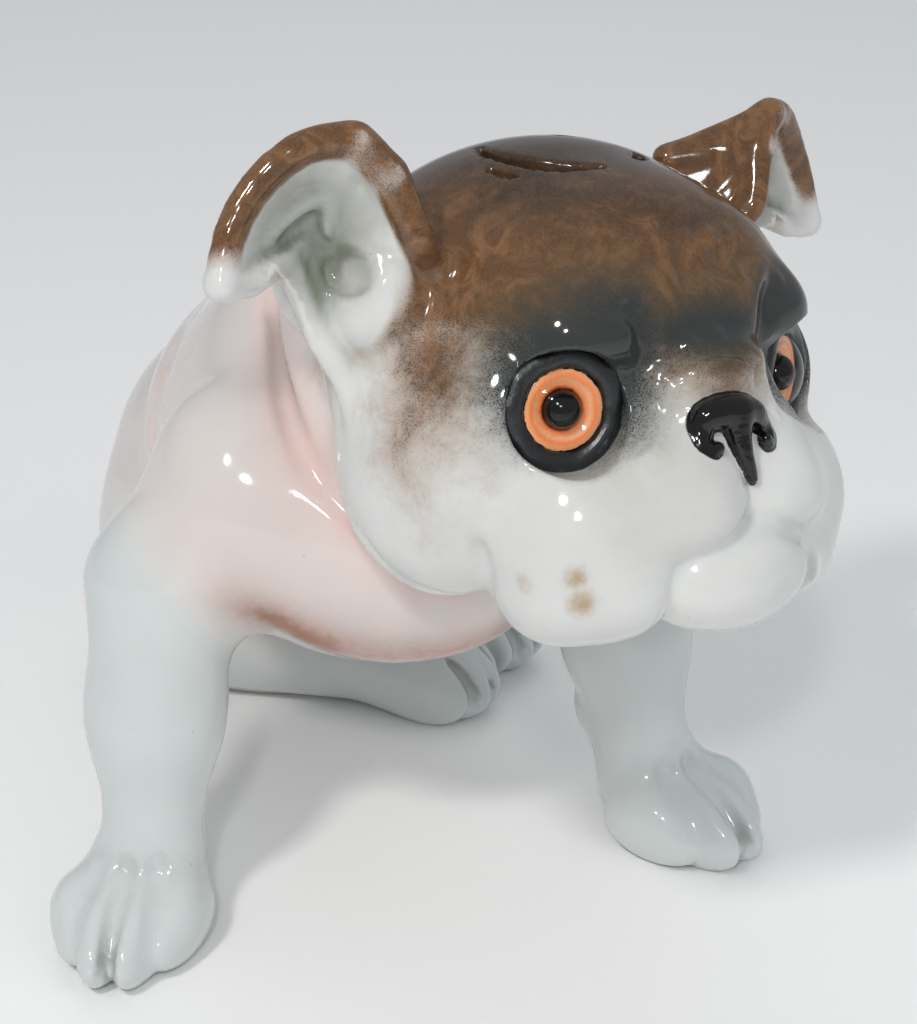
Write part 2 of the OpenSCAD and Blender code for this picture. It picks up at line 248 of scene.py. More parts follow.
def foreleg(p, side):
    """A stout foreleg, turned out, with its paw of four toes."""
    q = (p - (STANCE_MID, 0, 0) - LEG_SHIFT[side]) * (side, 1, 1)
    d = limb(q, (PAW_X - 13, -24, 67), 15, (PAW_X - 9, -32, 43), 11.6)
    d = join(d, limb(q, (PAW_X - 9, -32, 43), 11.6, (PAW_X - 6.5, -36.5, 20), 9.6), 9)
    d = join(d, egg(q, (PAW_X - 15, -18, 60), (8, 10, 11)), 7)
    d = join(d, egg(q, (PAW_X - 10.5, -27, 24), (7, 6, 8)), 6)
    yaw = turn(24)
    w = (q - (PAW_X, -45, 0)) @ yaw
    pad = egg(w, (0, 5, 8.5), (12.8, 13.5, 9.3))
    pad = join(pad, egg(w, (0, -2, 6), (12.8, 13, 6.2)), 6)
    toes = 1e9 * np.ones(len(p))
    for x, y, half in ((-10.4, -3.0, (4.5, 11.5, 6.4)), (-3.9, -8.0, (4.6, 12.5, 7.4)),
                       (3.4, -8.4, (4.6, 12.5, 7.4)), (10.2, -3.6, (4.5, 11.5, 6.4))):
        toe = egg(w, (x, y + 1, 6.3), half, turn(-x * 1.2))
        toe = join(toe, egg(w, (x * 0.97, y + 2, 10.6), (4.1, 6.2, 4.6)), 4)
        toes = join(toes, toe, 0.9)
    d = join(join(pad, toes, 2.6), d, 9)
    for x, lean in ((-7.2, -1.6), (-0.2, 0.0), (6.9, 1.6)):
        d += crease(w, [(x + lean, -21, 2), (x + lean, -16.5, 9), (x, -9, 15), (x * 0.8, 1, 19)],
                    1.55, 1.9, 1.2)
    return np.maximum(d, -p[:, 2])


def hind_leg(p, thigh, heel, toe, half, yaw):
    """A hind leg that lies along the ground, with its paw."""
    d = egg(p, *thigh)
    heel, toe = np.array(heel, float), np.array(toe, float)
    d = join(d, limb(p, heel, 13, toe, 9.5), 8)
    w = (p - toe - (0, 0, -9.5)) @ turn(yaw)
    pad = egg(w, (0, -2, 8), half)
    toes = 1e9 * np.ones(len(p))
    spread = half[0] / 13.0
    for x, y in ((-8.6, -7), (-3.0, -10.5), (2.9, -10.5), (8.4, -7)):
        toes = join(toes, egg(w, (x * spread, y, 7), (3.9 * spread, 8, 6.4)), 1.2)
    d = join(join(pad, toes, 3.5), d, 8)
    for x in (-5.8, -0.1, 5.7):
        d += crease(w, [(x * spread, -17, 6), (x * spread, -12, 13), (x * spread * 0.9, -3, 17)], 1.3, 1.5)
    return np.maximum(d, -p[:, 2])


def hind_right(p):
    return hind_leg(p, ((-37, 62, 31), (16, 26, 27)), (-27, 50, 13), (15, 28, 9.5), (12, 14, 10), 48)


def hind_left(p):
    return hind_leg(p, ((18, 68, 30), (15, 25, 26)), (18, 64, 13), (31, 46, 9.5), (11, 13, 10), 48)


def tail(p):
    """The screw tail: a short stub with a kink."""
    d = limb(p, (-12, 92, 45), 8.5, (-13, 104, 50.5), 6.5)
    return join(d, limb(p, (-13, 104, 50.5), 6.3, (-8.5, 108.5, 57), 4.8), 2.5)


def head(p):
    """The head without its ears."""
    q = in_head(p)
    a = q * 1.0
    a[:, 0] = np.abs(a[:, 0])
    d = egg(q, (0, 7, 9), (42, 38, 34))
    d = join(d, egg(q, (0, -17, 14), (31, 19, 21)), 9)
    d = join(d, egg(a, (30, 0, -10), (15, 22, 24)), 8)
    d = join(d, egg(q, (0, -25, -10), (29, 18, 15)), 8)
    d = join(d, egg(a, (25, -18, 0), (15, 10.5, 13.5)), 6)
    # Lips: a full pad each side of the nose that runs down and back into a long flew
    lips = join(egg(a, (10, -33.5, -15.5), (13, 14, 10.5)), egg(a, (22.5, -24, -20.5), (15, 17, 17.5)), 6)
    lips = join(lips, egg(a, (26.5, -26, -31), (8.5, 9.5, 7)), 5)
    lips = join(lips, egg(a, (19.5, -33, -29.5), (8, 8.5, 7.5)), 5)
    d = join(d, lips, 5)
    # Under-lip and chin
    jaw = join(egg(q, (0.5, -35, -28.4), (16, 12.5, 9.6)), egg(q, (1.5, -38, -28), (14.5, 9.8, 9.2)), 6)
    jaw += crease(q, [(4.5, -47, -23), (4.2, -48, -29), (3, -43, -36)], 3.0, 0.3, 1.5)
    d = join(d, jaw, 1.6)
    # Cheek lobe behind the flew
    d = join(d, egg(a, (32, -1, -12), (13.5, 20, 19.5)), 3)
    d = join(d, egg(a, (35, -13, -9.5), (7.5, 8.5, 9.5)), 6)
    # Bridge of the nose, with the roll of skin above it
    d = join(d, egg(q, (0, -32, 1), (12, 8, 9)), 6)
    d = join(d, egg(q, (0, -35.5, 6.5), (9.5, 6, 4.2)), 4)
    # Brow lobes over the inner half of each eye
    d = join(d, egg(a, (20.6, -24.6, 12.5), (10.6, 8.6, 8.4), turn(-14)), 4)
    d += face_lines(q, a)
    return d


def face_lines(q, a):
    """Folds and lines of the face, pressed in with a tool."""
    d = crease(a, [(24, -31, 7.4), (18.6, -32.8, 6.6), (14.4, -33.4, 7.4), (14.2, -34, 11.9),
                   (15.4, -33.2, 15.7), (20, -31.5, 18.6)], 2.3, 1.6)
    for line, depth in (([(-8.6, -28.8, 30), (-12.2, -31.2, 24.4), (-13.6, -32.9, 19.6)], 1.5),
                        ([(-4.2, -30.3, 29.5), (-7.6, -33.2, 23.5), (-8.6, -34.8, 17.9), (-7, -35.6, 11)],
                         1.7),
                        ([(1.2, -32, 28), (-0.4, -34, 21.5), (-1.7, -35, 16.4), (-2.3, -36.3, 10.5)], 1.4),
                        ([(8.4, -31.6, 27.5), (6.7, -34.2, 21), (4.3, -35.8, 16.8), (3, -36, 11.5)], 1.5),
                        ([(12.4, -29.8, 27), (13.2, -31.8, 22.5), (12.6, -33, 18.4)], 1.2)):
        d += crease(q + (4, 0, 0), line, 3.3, depth * 1.1, 0.9)
    # Fold over the nose, and the skin folds that run down beside it
    d += crease(q, [(-11.6, -36, 5.4), (-8.3, -37.2, 8.4), (-4.5, -39, 9.6), (-0.3, -40, 9),
                    (4.4, -39.6, 6.6), (6.8, -39.6, 2.4), (11.4, -39.4, -3.4)], 1.5, 1.2)
    d += crease(a, [(14, -32.3, 4.2), (13.4, -35, 2), (14.4, -36, -1.2), (17.6, -36.6, -4.4),
                    (23, -36, -7.2)], 1.6, 1.1)
    d += crease(q, [(-10.6, -36.6, 4), (-12.4, -38, -2.4), (-16.4, -38.4, -8), (-22, -37, -11)], 2.0, 1.0)
    # Groove between the lips, and the edge of the lips over the jaw
    d += crease(q, [(0.2, -44, -9), (0.2, -46.4, -14), (0, -47.5, -20)], 1.7, 1.5)
    d += crease(q, [(3, -47, -20), (0, -47.5, -20.2), (-3.7, -47.4, -21.6), (-10.5, -46.6, -23.4),
                    (-14.8, -45.4, -26.5), (-16.6, -43.6, -30.3), (-17.2, -39, -37.5)], 1.25, 2.3)
    d += crease(q, [(-3, -47.2, -20), (0, -47.5, -20.2), (4.5, -47, -20.8), (11.5, -45, -23.4),
                    (16.5, -42.4, -27.2), (19.2, -40, -31), (20.5, -37, -37)], 1.25, 2.3)
    # Crease behind the flew, and the lower edge of the cheek
    d += crease(a, [(38.6, -17.4, -17.4), (37.2, -18.6, -23), (36.2, -17, -30),
                    (32, -11, -37)], 1.8, 1.7, 3)
    d += crease(a, [(30, -14, -36), (35, -6, -34.5), (40, 2, -29), (43, 10, -19)], 2.0, 1.1)
    # Whisker pits
    for x, y, z in ((15, -46.6, -15.5), (19, -44.8, -15), (17, -45.6, -19.4), (21.5, -43.6, -19),
                    (12.5, -47, -19.6)):
        d += 0.2 * np.exp(-(size_of(a - (x, y, z)) / 0.8) ** 2)
    return d


STRIP = [(-1.9, -42.3, -1.0), (-2.0, -43.2, -4.4), (-1.5, -43.9, -7.6), (-0.5, -44.3, -10.2),
         (0.4, -44.6, -12.4)]


def nose(q):
    """The black nose: a cap with a wing curled over each nostril, and the strip down to the lip."""
    cap = along(q, [(-8.2, -40.0, -3.0), (-7.3, -40.7, -1.0), (-4.8, -41.7, -0.3), (-1.6, -42.2, -0.4),
                    (2.2, -41.8, -1.4), (4.9, -40.9, -3.6)], (2.1, 2.5, 2.8, 2.9, 2.6, 2.1))
    cap = join(cap, along(q, [(-8.3, -40.2, -3.3), (-8.9, -41.2, -5.1), (-8.1, -42.4, -6.4),
                              (-6.9, -43.2, -5.8)], (2.0, 1.7, 1.4, 1.1)), 0.5)
    cap = join(cap, along(q, [(5.0, -41.0, -3.8), (5.8, -41.8, -5.5), (4.9, -43.1, -6.6), (3.8, -43.9, -5.6)],
                          (2.0, 1.6, 1.3, 1.0)), 0.5)
    strip = along(q, STRIP, (2.9, 2.1, 1.6, 1.2, 0.6))
    return join(cap, strip, 0.9)


def in_ear(q):
    """Points of the head's axes in the axes of the ear on their own side. The left ear is the narrower."""
    out = q * 1.0
    out[:, 0] = np.where(q[:, 0] > 36, 36 + (q[:, 0] - 36) * 1.09, np.abs(q[:, 0]))
    return out


def ear(q):
    """The dog's left ear in the head's axes: a thin sheet folded over, its rim rolled."""
    deep = (48, 11, 30)
    front = (40, -7.5, 29)
    fold, peak, peak2, peak3 = (44, -5.4, 39), (49, -3.5, 44.5), (58.5, 0.5, 43.3), (64.5, 3, 38)
    outer, tip, corner, notch = (69, 4, 31), (71, 4, 23), (65, 4.5, 22.6), (58, 5.8, 25)
    elbow, lobe, root = (52.6, 7.5, 19), (49.3, 7.5, 12), (44, 6.5, 3)
    rim = [front, fold, peak, peak2, peak3, outer, tip, corner, notch, elbow, lobe, root]
    d = 1e9 * np.ones(len(q))
    curve = smooth_path(rim, 2)
    for u, v in zip(curve, curve[1:]):
        d = join(d, sheet_corner(q, deep, u, v) - 1.1, 1.6)
    # The sheet's root: along the skull behind, and down to the jaw
    d = join(d, sheet_corner(q, (33, 8, 37), fold, peak) - 1.5, 3.5)
    d = join(d, sheet_corner(q, (33, 8, 37), deep, peak) - 1.5, 4)
    d = join(d, sheet_corner(q, (34, 0, 27), fold, front) - 1.4, 4)
    d = join(d, sheet_corner(q, (34, 0, 27), fold, (33, 8, 37)) - 1.6, 3)
    d = join(d, egg(q, (43, 14, 25), (10, 7, 15), turn(20)), 6)
    d = join(d, egg(q, (41, 2.5, 19), (7.5, 9, 10)), 5)
    d = join(d, along(q, [(36, -6, 24), front, (42, -6.6, 34), fold, peak, (54, -1.6, 45), peak2, peak3,
                          outer, tip], (2.4, 2.0, 2.0, 2.1, 2.4, 2.4, 2.4, 2.3, 2.2, 2.3)), 2.2)
    d = join(d, along(q, [tip, corner, notch, (54.5, 7.2, 22.5), elbow, lobe, root, (40, 4, -8)],
                      (2.2, 1.8, 1.6, 1.7, 1.8, 2.1, 2.6, 3.0)), 2.2)
    # Ridge inside the ear, round the hollow of the canal
    ridge = [(60.5, 6.4, 29), (57.5, 5.6, 32.4), (53.5, 5, 35), (50.2, 4.6, 35.6), (48.4, 5, 33.4),
             (48.2, 6, 30)]
    d = join(d, along(q, ridge, (1.0, 1.6, 1.9, 1.8, 1.5, 1.0)), 1.8)
    d = cut(d, egg(q, (47.6, 1.5, 23), (2.4, 6, 3.6)), 1.6)
    return d


def ear_cup(q):
    """How far a point lies on the hollow side of the ear's sheet, less towards the top of its rim."""
    deep = np.array([48.0, 11.0, 30.0])
    out = np.full(len(q), -9.0)
    closest = np.full(len(q), 1e9)
    lower = [EAR_RIM[-1], (65, 4.5, 22.6), (58, 5.8, 25), (52.6, 7.5, 19), (49.3, 7.5, 12), (44, 6.5, 3)]
    rim = np.vstack([smooth_path(EAR_RIM, 3), smooth_path(lower, 3)[1:]])
    for u, v in zip(rim, rim[1:]):
        away = np.cross(u - deep, v - deep)
        length = np.linalg.norm(away)
        if length < 1e-6:
            continue
        d = sheet_corner(q, deep, u, v)
        side = (q - deep) @ (away / length)
        nearer = d < closest
        closest = np.where(nearer, d, closest)
        out = np.where(nearer, side, out)
    return out


def ring_slot(start, end, steps, r=15.2, centre=(0.5, 1.0)):
    """Points of a slot that runs round the crown, angles in degrees from the dog's left."""
    turns = np.radians(np.linspace(start, end, steps))
    return [(centre[0] + r * math.cos(t), centre[1] + r * math.sin(t), 0) for t in turns]


SLOTS = (
    (ring_slot(150, 250, 9), (0.5, 0.9, 1.2, 1.5, 1.6, 1.6, 1.6, 1.4, 0.9)),
    (ring_slot(187, 201, 3, 19.4), (0.8, 1.1, 0.8)),
    (ring_slot(300, 322, 3, 13.0), (0.9, 1.2, 0.9)),
    (ring_slot(12, 46, 4), (0.9, 1.3, 1.3, 0.9)),
    ([(3, 5, 0), (7.5, 3.6, 0)], (1.0, 1.0)),
)


EAR_RIM = [(36, -6, 24), (40, -7.5, 29), (42, -6.6, 34), (44, -5.4, 39), (49, -3.5, 44.5), (54, -1.6, 45),
           (58.5, 0.5, 43.3), (64.5, 3, 38), (69, 4, 31), (71, 4, 23)]


def air_slots(q):
    """The slots through the crown, and the tapering groove that runs on from the long one."""
    flat = q * (1, 1, 0)
    d = 1e9 * np.ones(len(q))
    for path, radii in SLOTS:
        d = np.minimum(d, along(flat, path, radii))
    return np.maximum(d, 20 - q[:, 2])


def around(p, corners, reach, measure):
    """measure(p) inside the box of the corners grown by reach, and reach everywhere else."""
    return near(p, corners, reach, reach, measure)


HEAD_BOX = [(-45, -115, 60), (82, 10, 168)]
BOXES = {
    "head_casting": [(-30, -108, 66), (74, -8, 160)],
    "foreleg_right": [(-80, -72, 0), (-22, 0, 86)],
    "foreleg_left": [(14, -72, 0), (72, 0, 86)],
    "hind_leg_right": [(-56, 8, 0), (36, 92, 62)],
    "hind_leg_left": [(0, 22, 0), (52, 96, 60)],
    "tail": [(-24, 80, 34), (0, 116, 66)],
    "ear_right": [(-56, -88, 96), (8, -14, 168)],
    "ear_left": [(36, -62, 100), (100, 4, 168)],
}


def lumps(p):
    """Distance to each casting by name."""
    out = {"torso_casting": trunk(p)}
    ways = {
        "head_casting": head,
        "foreleg_right": lambda v: foreleg(v, -1), "foreleg_left": lambda v: foreleg(v, 1),
        "hind_leg_right": hind_right, "hind_leg_left": hind_left, "tail": tail,
        "ear_right": lambda v: ear(in_head(v) * (-1, 1, 1)), "ear_left": lambda v: ear(in_ear(in_head(v))),
    }
    for name, measure in ways.items():
        out[name] = around(p, BOXES[name], 14.0, measure)
    return out


SEAMS = {"foreleg_right": 12, "foreleg_left": 11, "hind_leg_right": 5, "hind_leg_left": 4, "tail": 6,
         "head_casting": 3.2, "ear_right": 3.0, "ear_left": 3.0}


def skin(p, parts=None):
    """Distance to the outside of the whole figure, before anything is bored."""
    parts = parts or lumps(p)
    d = parts["torso_casting"]
    for name, soft in SEAMS.items():
        d = join(d, parts[name], soft)
    d = d + around(p, [(-56, -64, 44), (52, 40, 128)], 0.0, neck_folds)
    d = join(d, around(p, HEAD_NOSE_BOX, 14.0, lambda v: nose(in_head(v))), 0.8)
    return np.maximum(d, -p[:, 2])


def hollow(p):
    """Distance to the space inside the porcelain."""
    q = in_head(p)
    inner = egg(p, (-4, -20, 78), (39 - WALL, 33 - WALL, 33 - WALL))
    for c, half in (((-7, 22, 72), (39, 46, 38)), ((0, 4, 95), (34, 32, 28)), ((13, -26, 102), (35, 32, 32)),
                    ((-10, 66, 46), (38, 37, 39))):
        inner = join(inner, egg(p, c, np.array(half) - WALL), 8)
    for c, half in (((0, 7, 9), (42, 38, 34)), ((0, -17, 14), (31, 19, 20)), ((0, -24, -9), (26, 15, 12))):
        inner = join(inner, egg(q, c, np.array(half) - WALL - 0.6), 6)
    w = p - LAMP
    inner = join(inner, limb(w, (0, 0, 34), RING_R - WALL, (0, 0, 38), RING_R - WALL), 6)
    inner = np.maximum(inner, 8 - p[:, 2])
    mouth = np.maximum(np.hypot(w[:, 0], w[:, 1]) - OPENING_R, p[:, 2] - 30)
    return join(inner, mouth, 1.5)


def bored(p):
    """Everything cut out of the figure: its hollow, air slots, eye seats and the hole for the bush."""
    d = hollow(p)
    d = np.minimum(d, around(p, HEAD_BOX, 6.0, lambda v: air_slots(in_head(v))))
    for side in (-1, 1):
        at, axes = eye_frame(side)

        def seat(v):
            w = (v - at) @ axes
            r = np.hypot(w[:, 0], w[:, 1])
            bowl = np.maximum(r - SEAT_R, -SEAT_DEPTH - w[:, 2])
            hole = np.maximum(r - SEAT_HOLE_R, -16 - w[:, 2])
            return np.minimum(bowl, hole)
        d = np.minimum(d, around(p, [at - 14, at + 14], 6.0, seat))

    def bush_hole(v):
        w = v - LAMP - (0, 0, BUSH_Z)
        r = np.hypot(w[:, 0], w[:, 2])
        return np.minimum(np.maximum(r - BUSH_R, 16 - w[:, 1]),
                          np.maximum(r - BUSH_R - 2, BUSH_FACE - w[:, 1]))
    return np.minimum(d, around(p, [LAMP + (-9, 16, 3), LAMP + (9, 46, 26)], 6.0, bush_hole))


BUSH_FACE = 29.8
HEAD_NOSE_BOX = [from_head((0, -41, -5)) - 13, from_head((0, -41, -5)) + 13]


def porcelain(p):
    """Distance to the finished porcelain."""
    return cut(skin(p), bored(p), 0.7)


# ---------------------------------------------------------------- from distance fields to meshes

GRID_LOW = np.array([-84.0, -118.0, -3.0])
GRID_HIGH = np.array([88.0, 120.0, 172.0])
CELL = 4           # grid steps in one coarse cell
INSIDE_DEPTH = -1.7  # the skin's distance below which a point lies on the hollow's wall
# The face, in the head's axes, has quads of half the size
FINE_LOW, FINE_HIGH = (-44, -60, -44), (44, 0, 1000)


def slope(field, p, reach=0.12):
    """Gradient of a field."""
    g = np.empty_like(p)
    for axis in range(3):
        e = np.zeros(3)
        e[axis] = reach
        g[:, axis] = field(p + e) - field(p - e)
    return g / (2 * reach)


def settle(p, field, rounds, limit):
    """Points moved onto the field's surface, by no more than limit a round."""
    for _ in range(rounds):
        g = slope(field, p)
        move = g * (field(p) / np.maximum(np.einsum("ij,ij->i", g, g), 0.25))[:, None]
        far = size_of(move)
        p = p - move * np.minimum(1.0, limit / np.maximum(far, 1e-9))[:, None]
    return p


def lattice(low, counts, step):
    """Points of a grid, one to a row."""
    axes = [low[i] + step * np.arange(counts[i]) for i in range(3)]
    return np.stack(np.meshgrid(*axes, indexing="ij"), -1).reshape(-1, 3)


def skin_quads(field, step):
    """Points and four-sided faces of the field's surface, from a grid filled in only near it."""
    cells = np.ceil((GRID_HIGH - GRID_LOW) / (step * CELL)).astype(int)
    wide = step * CELL
    middle = lattice(GRID_LOW + wide / 2 - step / 2, cells, wide)
    rough = field(middle)
    close = np.abs(rough) < wide * 1.5
    grid = np.repeat(np.where(rough > 0, 9.0, -9.0).reshape(cells), CELL, 0)
    grid = np.repeat(np.repeat(grid, CELL, 1), CELL, 2).astype(np.float32)
    corner = np.argwhere(close.reshape(cells)) * CELL
    within = lattice(np.zeros(3), (CELL, CELL, CELL), 1).astype(int)
    spots = (corner[:, None, :] + within[None]).reshape(-1, 3)
    values = np.empty(len(spots), np.float32)
    for start in range(0, len(spots), 400000):
        part = spots[start:start + 400000]
        values[start:start + 400000] = field(GRID_LOW + part * step)
    grid[spots[:, 0], spots[:, 1], spots[:, 2]] = values
    volume = openvdb.FloatGrid(9.0)
    volume.copyFromArray(np.ascontiguousarray(grid))
    points, quads = volume.convertToQuads(isovalue=0.0)
    points = GRID_LOW + np.asarray(points, float) * step
    quads = np.asarray(quads, int)
    # Turn the faces outwards
    v = points[quads]
    n = np.cross(v[:, 2] - v[:, 0], v[:, 3] - v[:, 1])
    if np.einsum("ij,ij->", n, v[:, 0]) < 0:
        quads = quads[:, ::-1]
    return points, quads


def refine(points, quads, chosen):
    """Each chosen quad split in four, and the points this adds to its neighbours' edges."""
    pairs = np.stack([quads, np.roll(quads, -1, axis=1)], -1)
    keys = np.sort(pairs.reshape(-1, 2), axis=1)
    edges, edge_of = np.unique(keys, axis=0, return_inverse=True)
    edge_of = edge_of.reshape(-1, 4)
    split = np.zeros(len(edges), bool)
    split[edge_of[chosen].ravel()] = True
    middle_of = np.full(len(edges), -1)
    middle_of[split] = len(points) + np.arange(split.sum())
    picked = quads[chosen]
    heart = len(points) + split.sum() + np.arange(len(picked))
    points = np.vstack([points, points[edges[split]].mean(1), points[picked].mean(1)])
    mids = middle_of[edge_of[chosen]]
    faces = [np.column_stack([picked[:, i], mids[:, i], heart, mids[:, i - 1]]) for i in range(4)]
    rest = ~chosen
    touched = rest & (middle_of[edge_of] >= 0).any(1)
    faces.append(quads[rest & ~touched])
    loops = np.vstack(faces)
    fans = []
    for quad, mid in zip(quads[touched], middle_of[edge_of[touched]]):
        fans.append([v for pair in zip(quad, mid) for v in pair if v >= 0])
    return points, loops, fans


def mesh_from(name, points, quads, fans=()):
    """A mesh of quads and a few faces of other sizes, points in the layout's millimetres."""
    me = bpy.data.meshes.new(name)
    me.vertices.add(len(points))
    me.vertices.foreach_set("co", points.astype(np.float32).ravel())
    sizes = np.concatenate([np.full(len(quads), 4, int), np.array([len(f) for f in fans], int)])
    corners = np.concatenate([quads.ravel(), np.array([v for f in fans for v in f], int)])
    me.loops.add(len(corners))
    me.loops.foreach_set("vertex_index", corners.astype(np.int32))
    me.polygons.add(len(sizes))
    starts = np.concatenate([[0], np.cumsum(sizes)[:-1]])
    me.polygons.foreach_set("loop_start", starts.astype(np.int32))
    me.update(calc_edges=True)
    return me


def saw_apart(me, parts):
    """Cut the mesh along the lines where one casting meets the next, and name each face's casting.

    Each seam is the zero line of how much nearer a point is to one casting than to all the others.
    The points are laid out along that number, cut at zero with a straight cut and put back."""
    names = list(parts)
    table = np.stack([parts[n] for n in names])
    margins = {}
    for i, name in enumerate(names):
        margins[name] = np.min(np.delete(table, i, 0), axis=0) - table[i]
    bm = bmesh.new()
    bm.from_mesh(me)
    bm.faces.ensure_lookup_table()
    home = bm.verts.layers.float_vector.new("home")
    layers = {n: bm.verts.layers.float.new(n) for n in names}
    for v in bm.verts:
        v[home] = v.co
    for name, layer in layers.items():
        for v, value in zip(bm.verts, margins[name].tolist()):
            v[layer] = value
    for name in names[1:]:
        layer = layers[name]
        crossed = []
        for f in bm.faces:
            values = [v[layer] for v in f.verts]
            if min(values) < 0 < max(values):
                crossed.append(f)
        verts = {v for f in crossed for v in f.verts}
        edges = {e for f in crossed for e in f.edges}
        for v in verts:
            v.co = Vector((v[layer], v[home].y, v[home].z))
        bmesh.ops.bisect_plane(bm, geom=list(verts) + list(edges) + crossed, dist=1e-5,
                               plane_co=(0, 0, 0), plane_no=(1, 0, 0))
    for v in bm.verts:
        v.co = v[home]
    owners = []
    for f in bm.faces:
        sums = [sum(v[layers[n]] for v in f.verts) for n in names]
        owners.append(sums.index(max(sums)))
    bm.verts.index_update()
    points = np.array([v.co for v in bm.verts])
    faces = [[v.index for v in f.verts] for f in bm.faces]
    bm.free()
    return points, {n: [f for f, o in zip(faces, owners) if o == i] for i, n in enumerate(names)}


def closed_piece(name, points, faces, normals):
    """One casting as a closed mesh: its faces, and a flat joint face over each open end.

    Where a joint meets the hollow, the face is the ring between the skin's edge and the hollow's edge."""
    used = np.unique(np.concatenate([np.array(f) for f in faces]))
    back = {int(v): i for i, v in enumerate(used)}
    bm = bmesh.new()
    verts = [bm.verts.new(v) for v in to_row(points[used])]
    for f in faces:
        bm.faces.new([verts[back[v]] for v in f]).smooth = True
    bm.verts.index_update()
    skinned = len(bm.faces)
    mouths, throats = [], []
    for ring in rings_of([e for e in bm.edges if len(e.link_faces) == 1]):
        rim = points[used[sorted({v.index for e in ring for v in e.verts})]]
        inside = skin(rim).mean() < INSIDE_DEPTH
        (throats if inside else mouths).append((rim.mean(0), ring))
    for middle, ring in throats:
        match = min(range(len(mouths)), key=lambda i: np.linalg.norm(mouths[i][0] - middle))
        bmesh.ops.bridge_loops(bm, edges=ring + mouths.pop(match)[1])
    for _, ring in mouths:
        bmesh.ops.triangle_fill(bm, edges=ring, use_beauty=True)
    bm.faces.ensure_lookup_table()
    bmesh.ops.recalc_face_normals(bm, faces=bm.faces[:])
    if bm.calc_volume(signed=True) < 0:
        bmesh.ops.reverse_faces(bm, faces=bm.faces[:])
    me = bpy.data.meshes.new(name)
    bm.to_mesh(me)
    bm.free()
    n = normals[used]
    corner = np.empty(len(me.loops), np.int32)
    me.loops.foreach_get("vertex_index", corner)
    split = n[corner]
    for poly in me.polygons:
        if poly.index >= skinned:
            split[poly.loop_start:poly.loop_start + poly.loop_total] = poly.normal
    me.normals_split_custom_set(split.tolist())
    return me, used


def rings_of(edges):
    """Edges sorted into their separate rings."""
    left = set(edges)
    rings = []
    while left:
        ring, edge = [], left.pop()
        front = [edge]
        while front:
            e = front.pop()
            ring.append(e)
            for v in e.verts:
                for other in v.link_edges:
                    if other in left:
                        left.remove(other)
                        front.append(other)
        rings.append(ring)
    return rings


# ---------------------------------------------------------------- where the colours lie

def ramp(x, low, high):
    """0 at low and 1 at high, eased."""
    t = np.clip((x - low) / (high - low), 0.0, 1.0)
    return t * t * (3 - 2 * t)


def dab(p, path, width):
    """A soft touch of a brush: 1 on the path and fading over width."""
    return near(p, path, width * 3, 0.0, lambda v: np.exp(-(along(v, path) / width) ** 2))


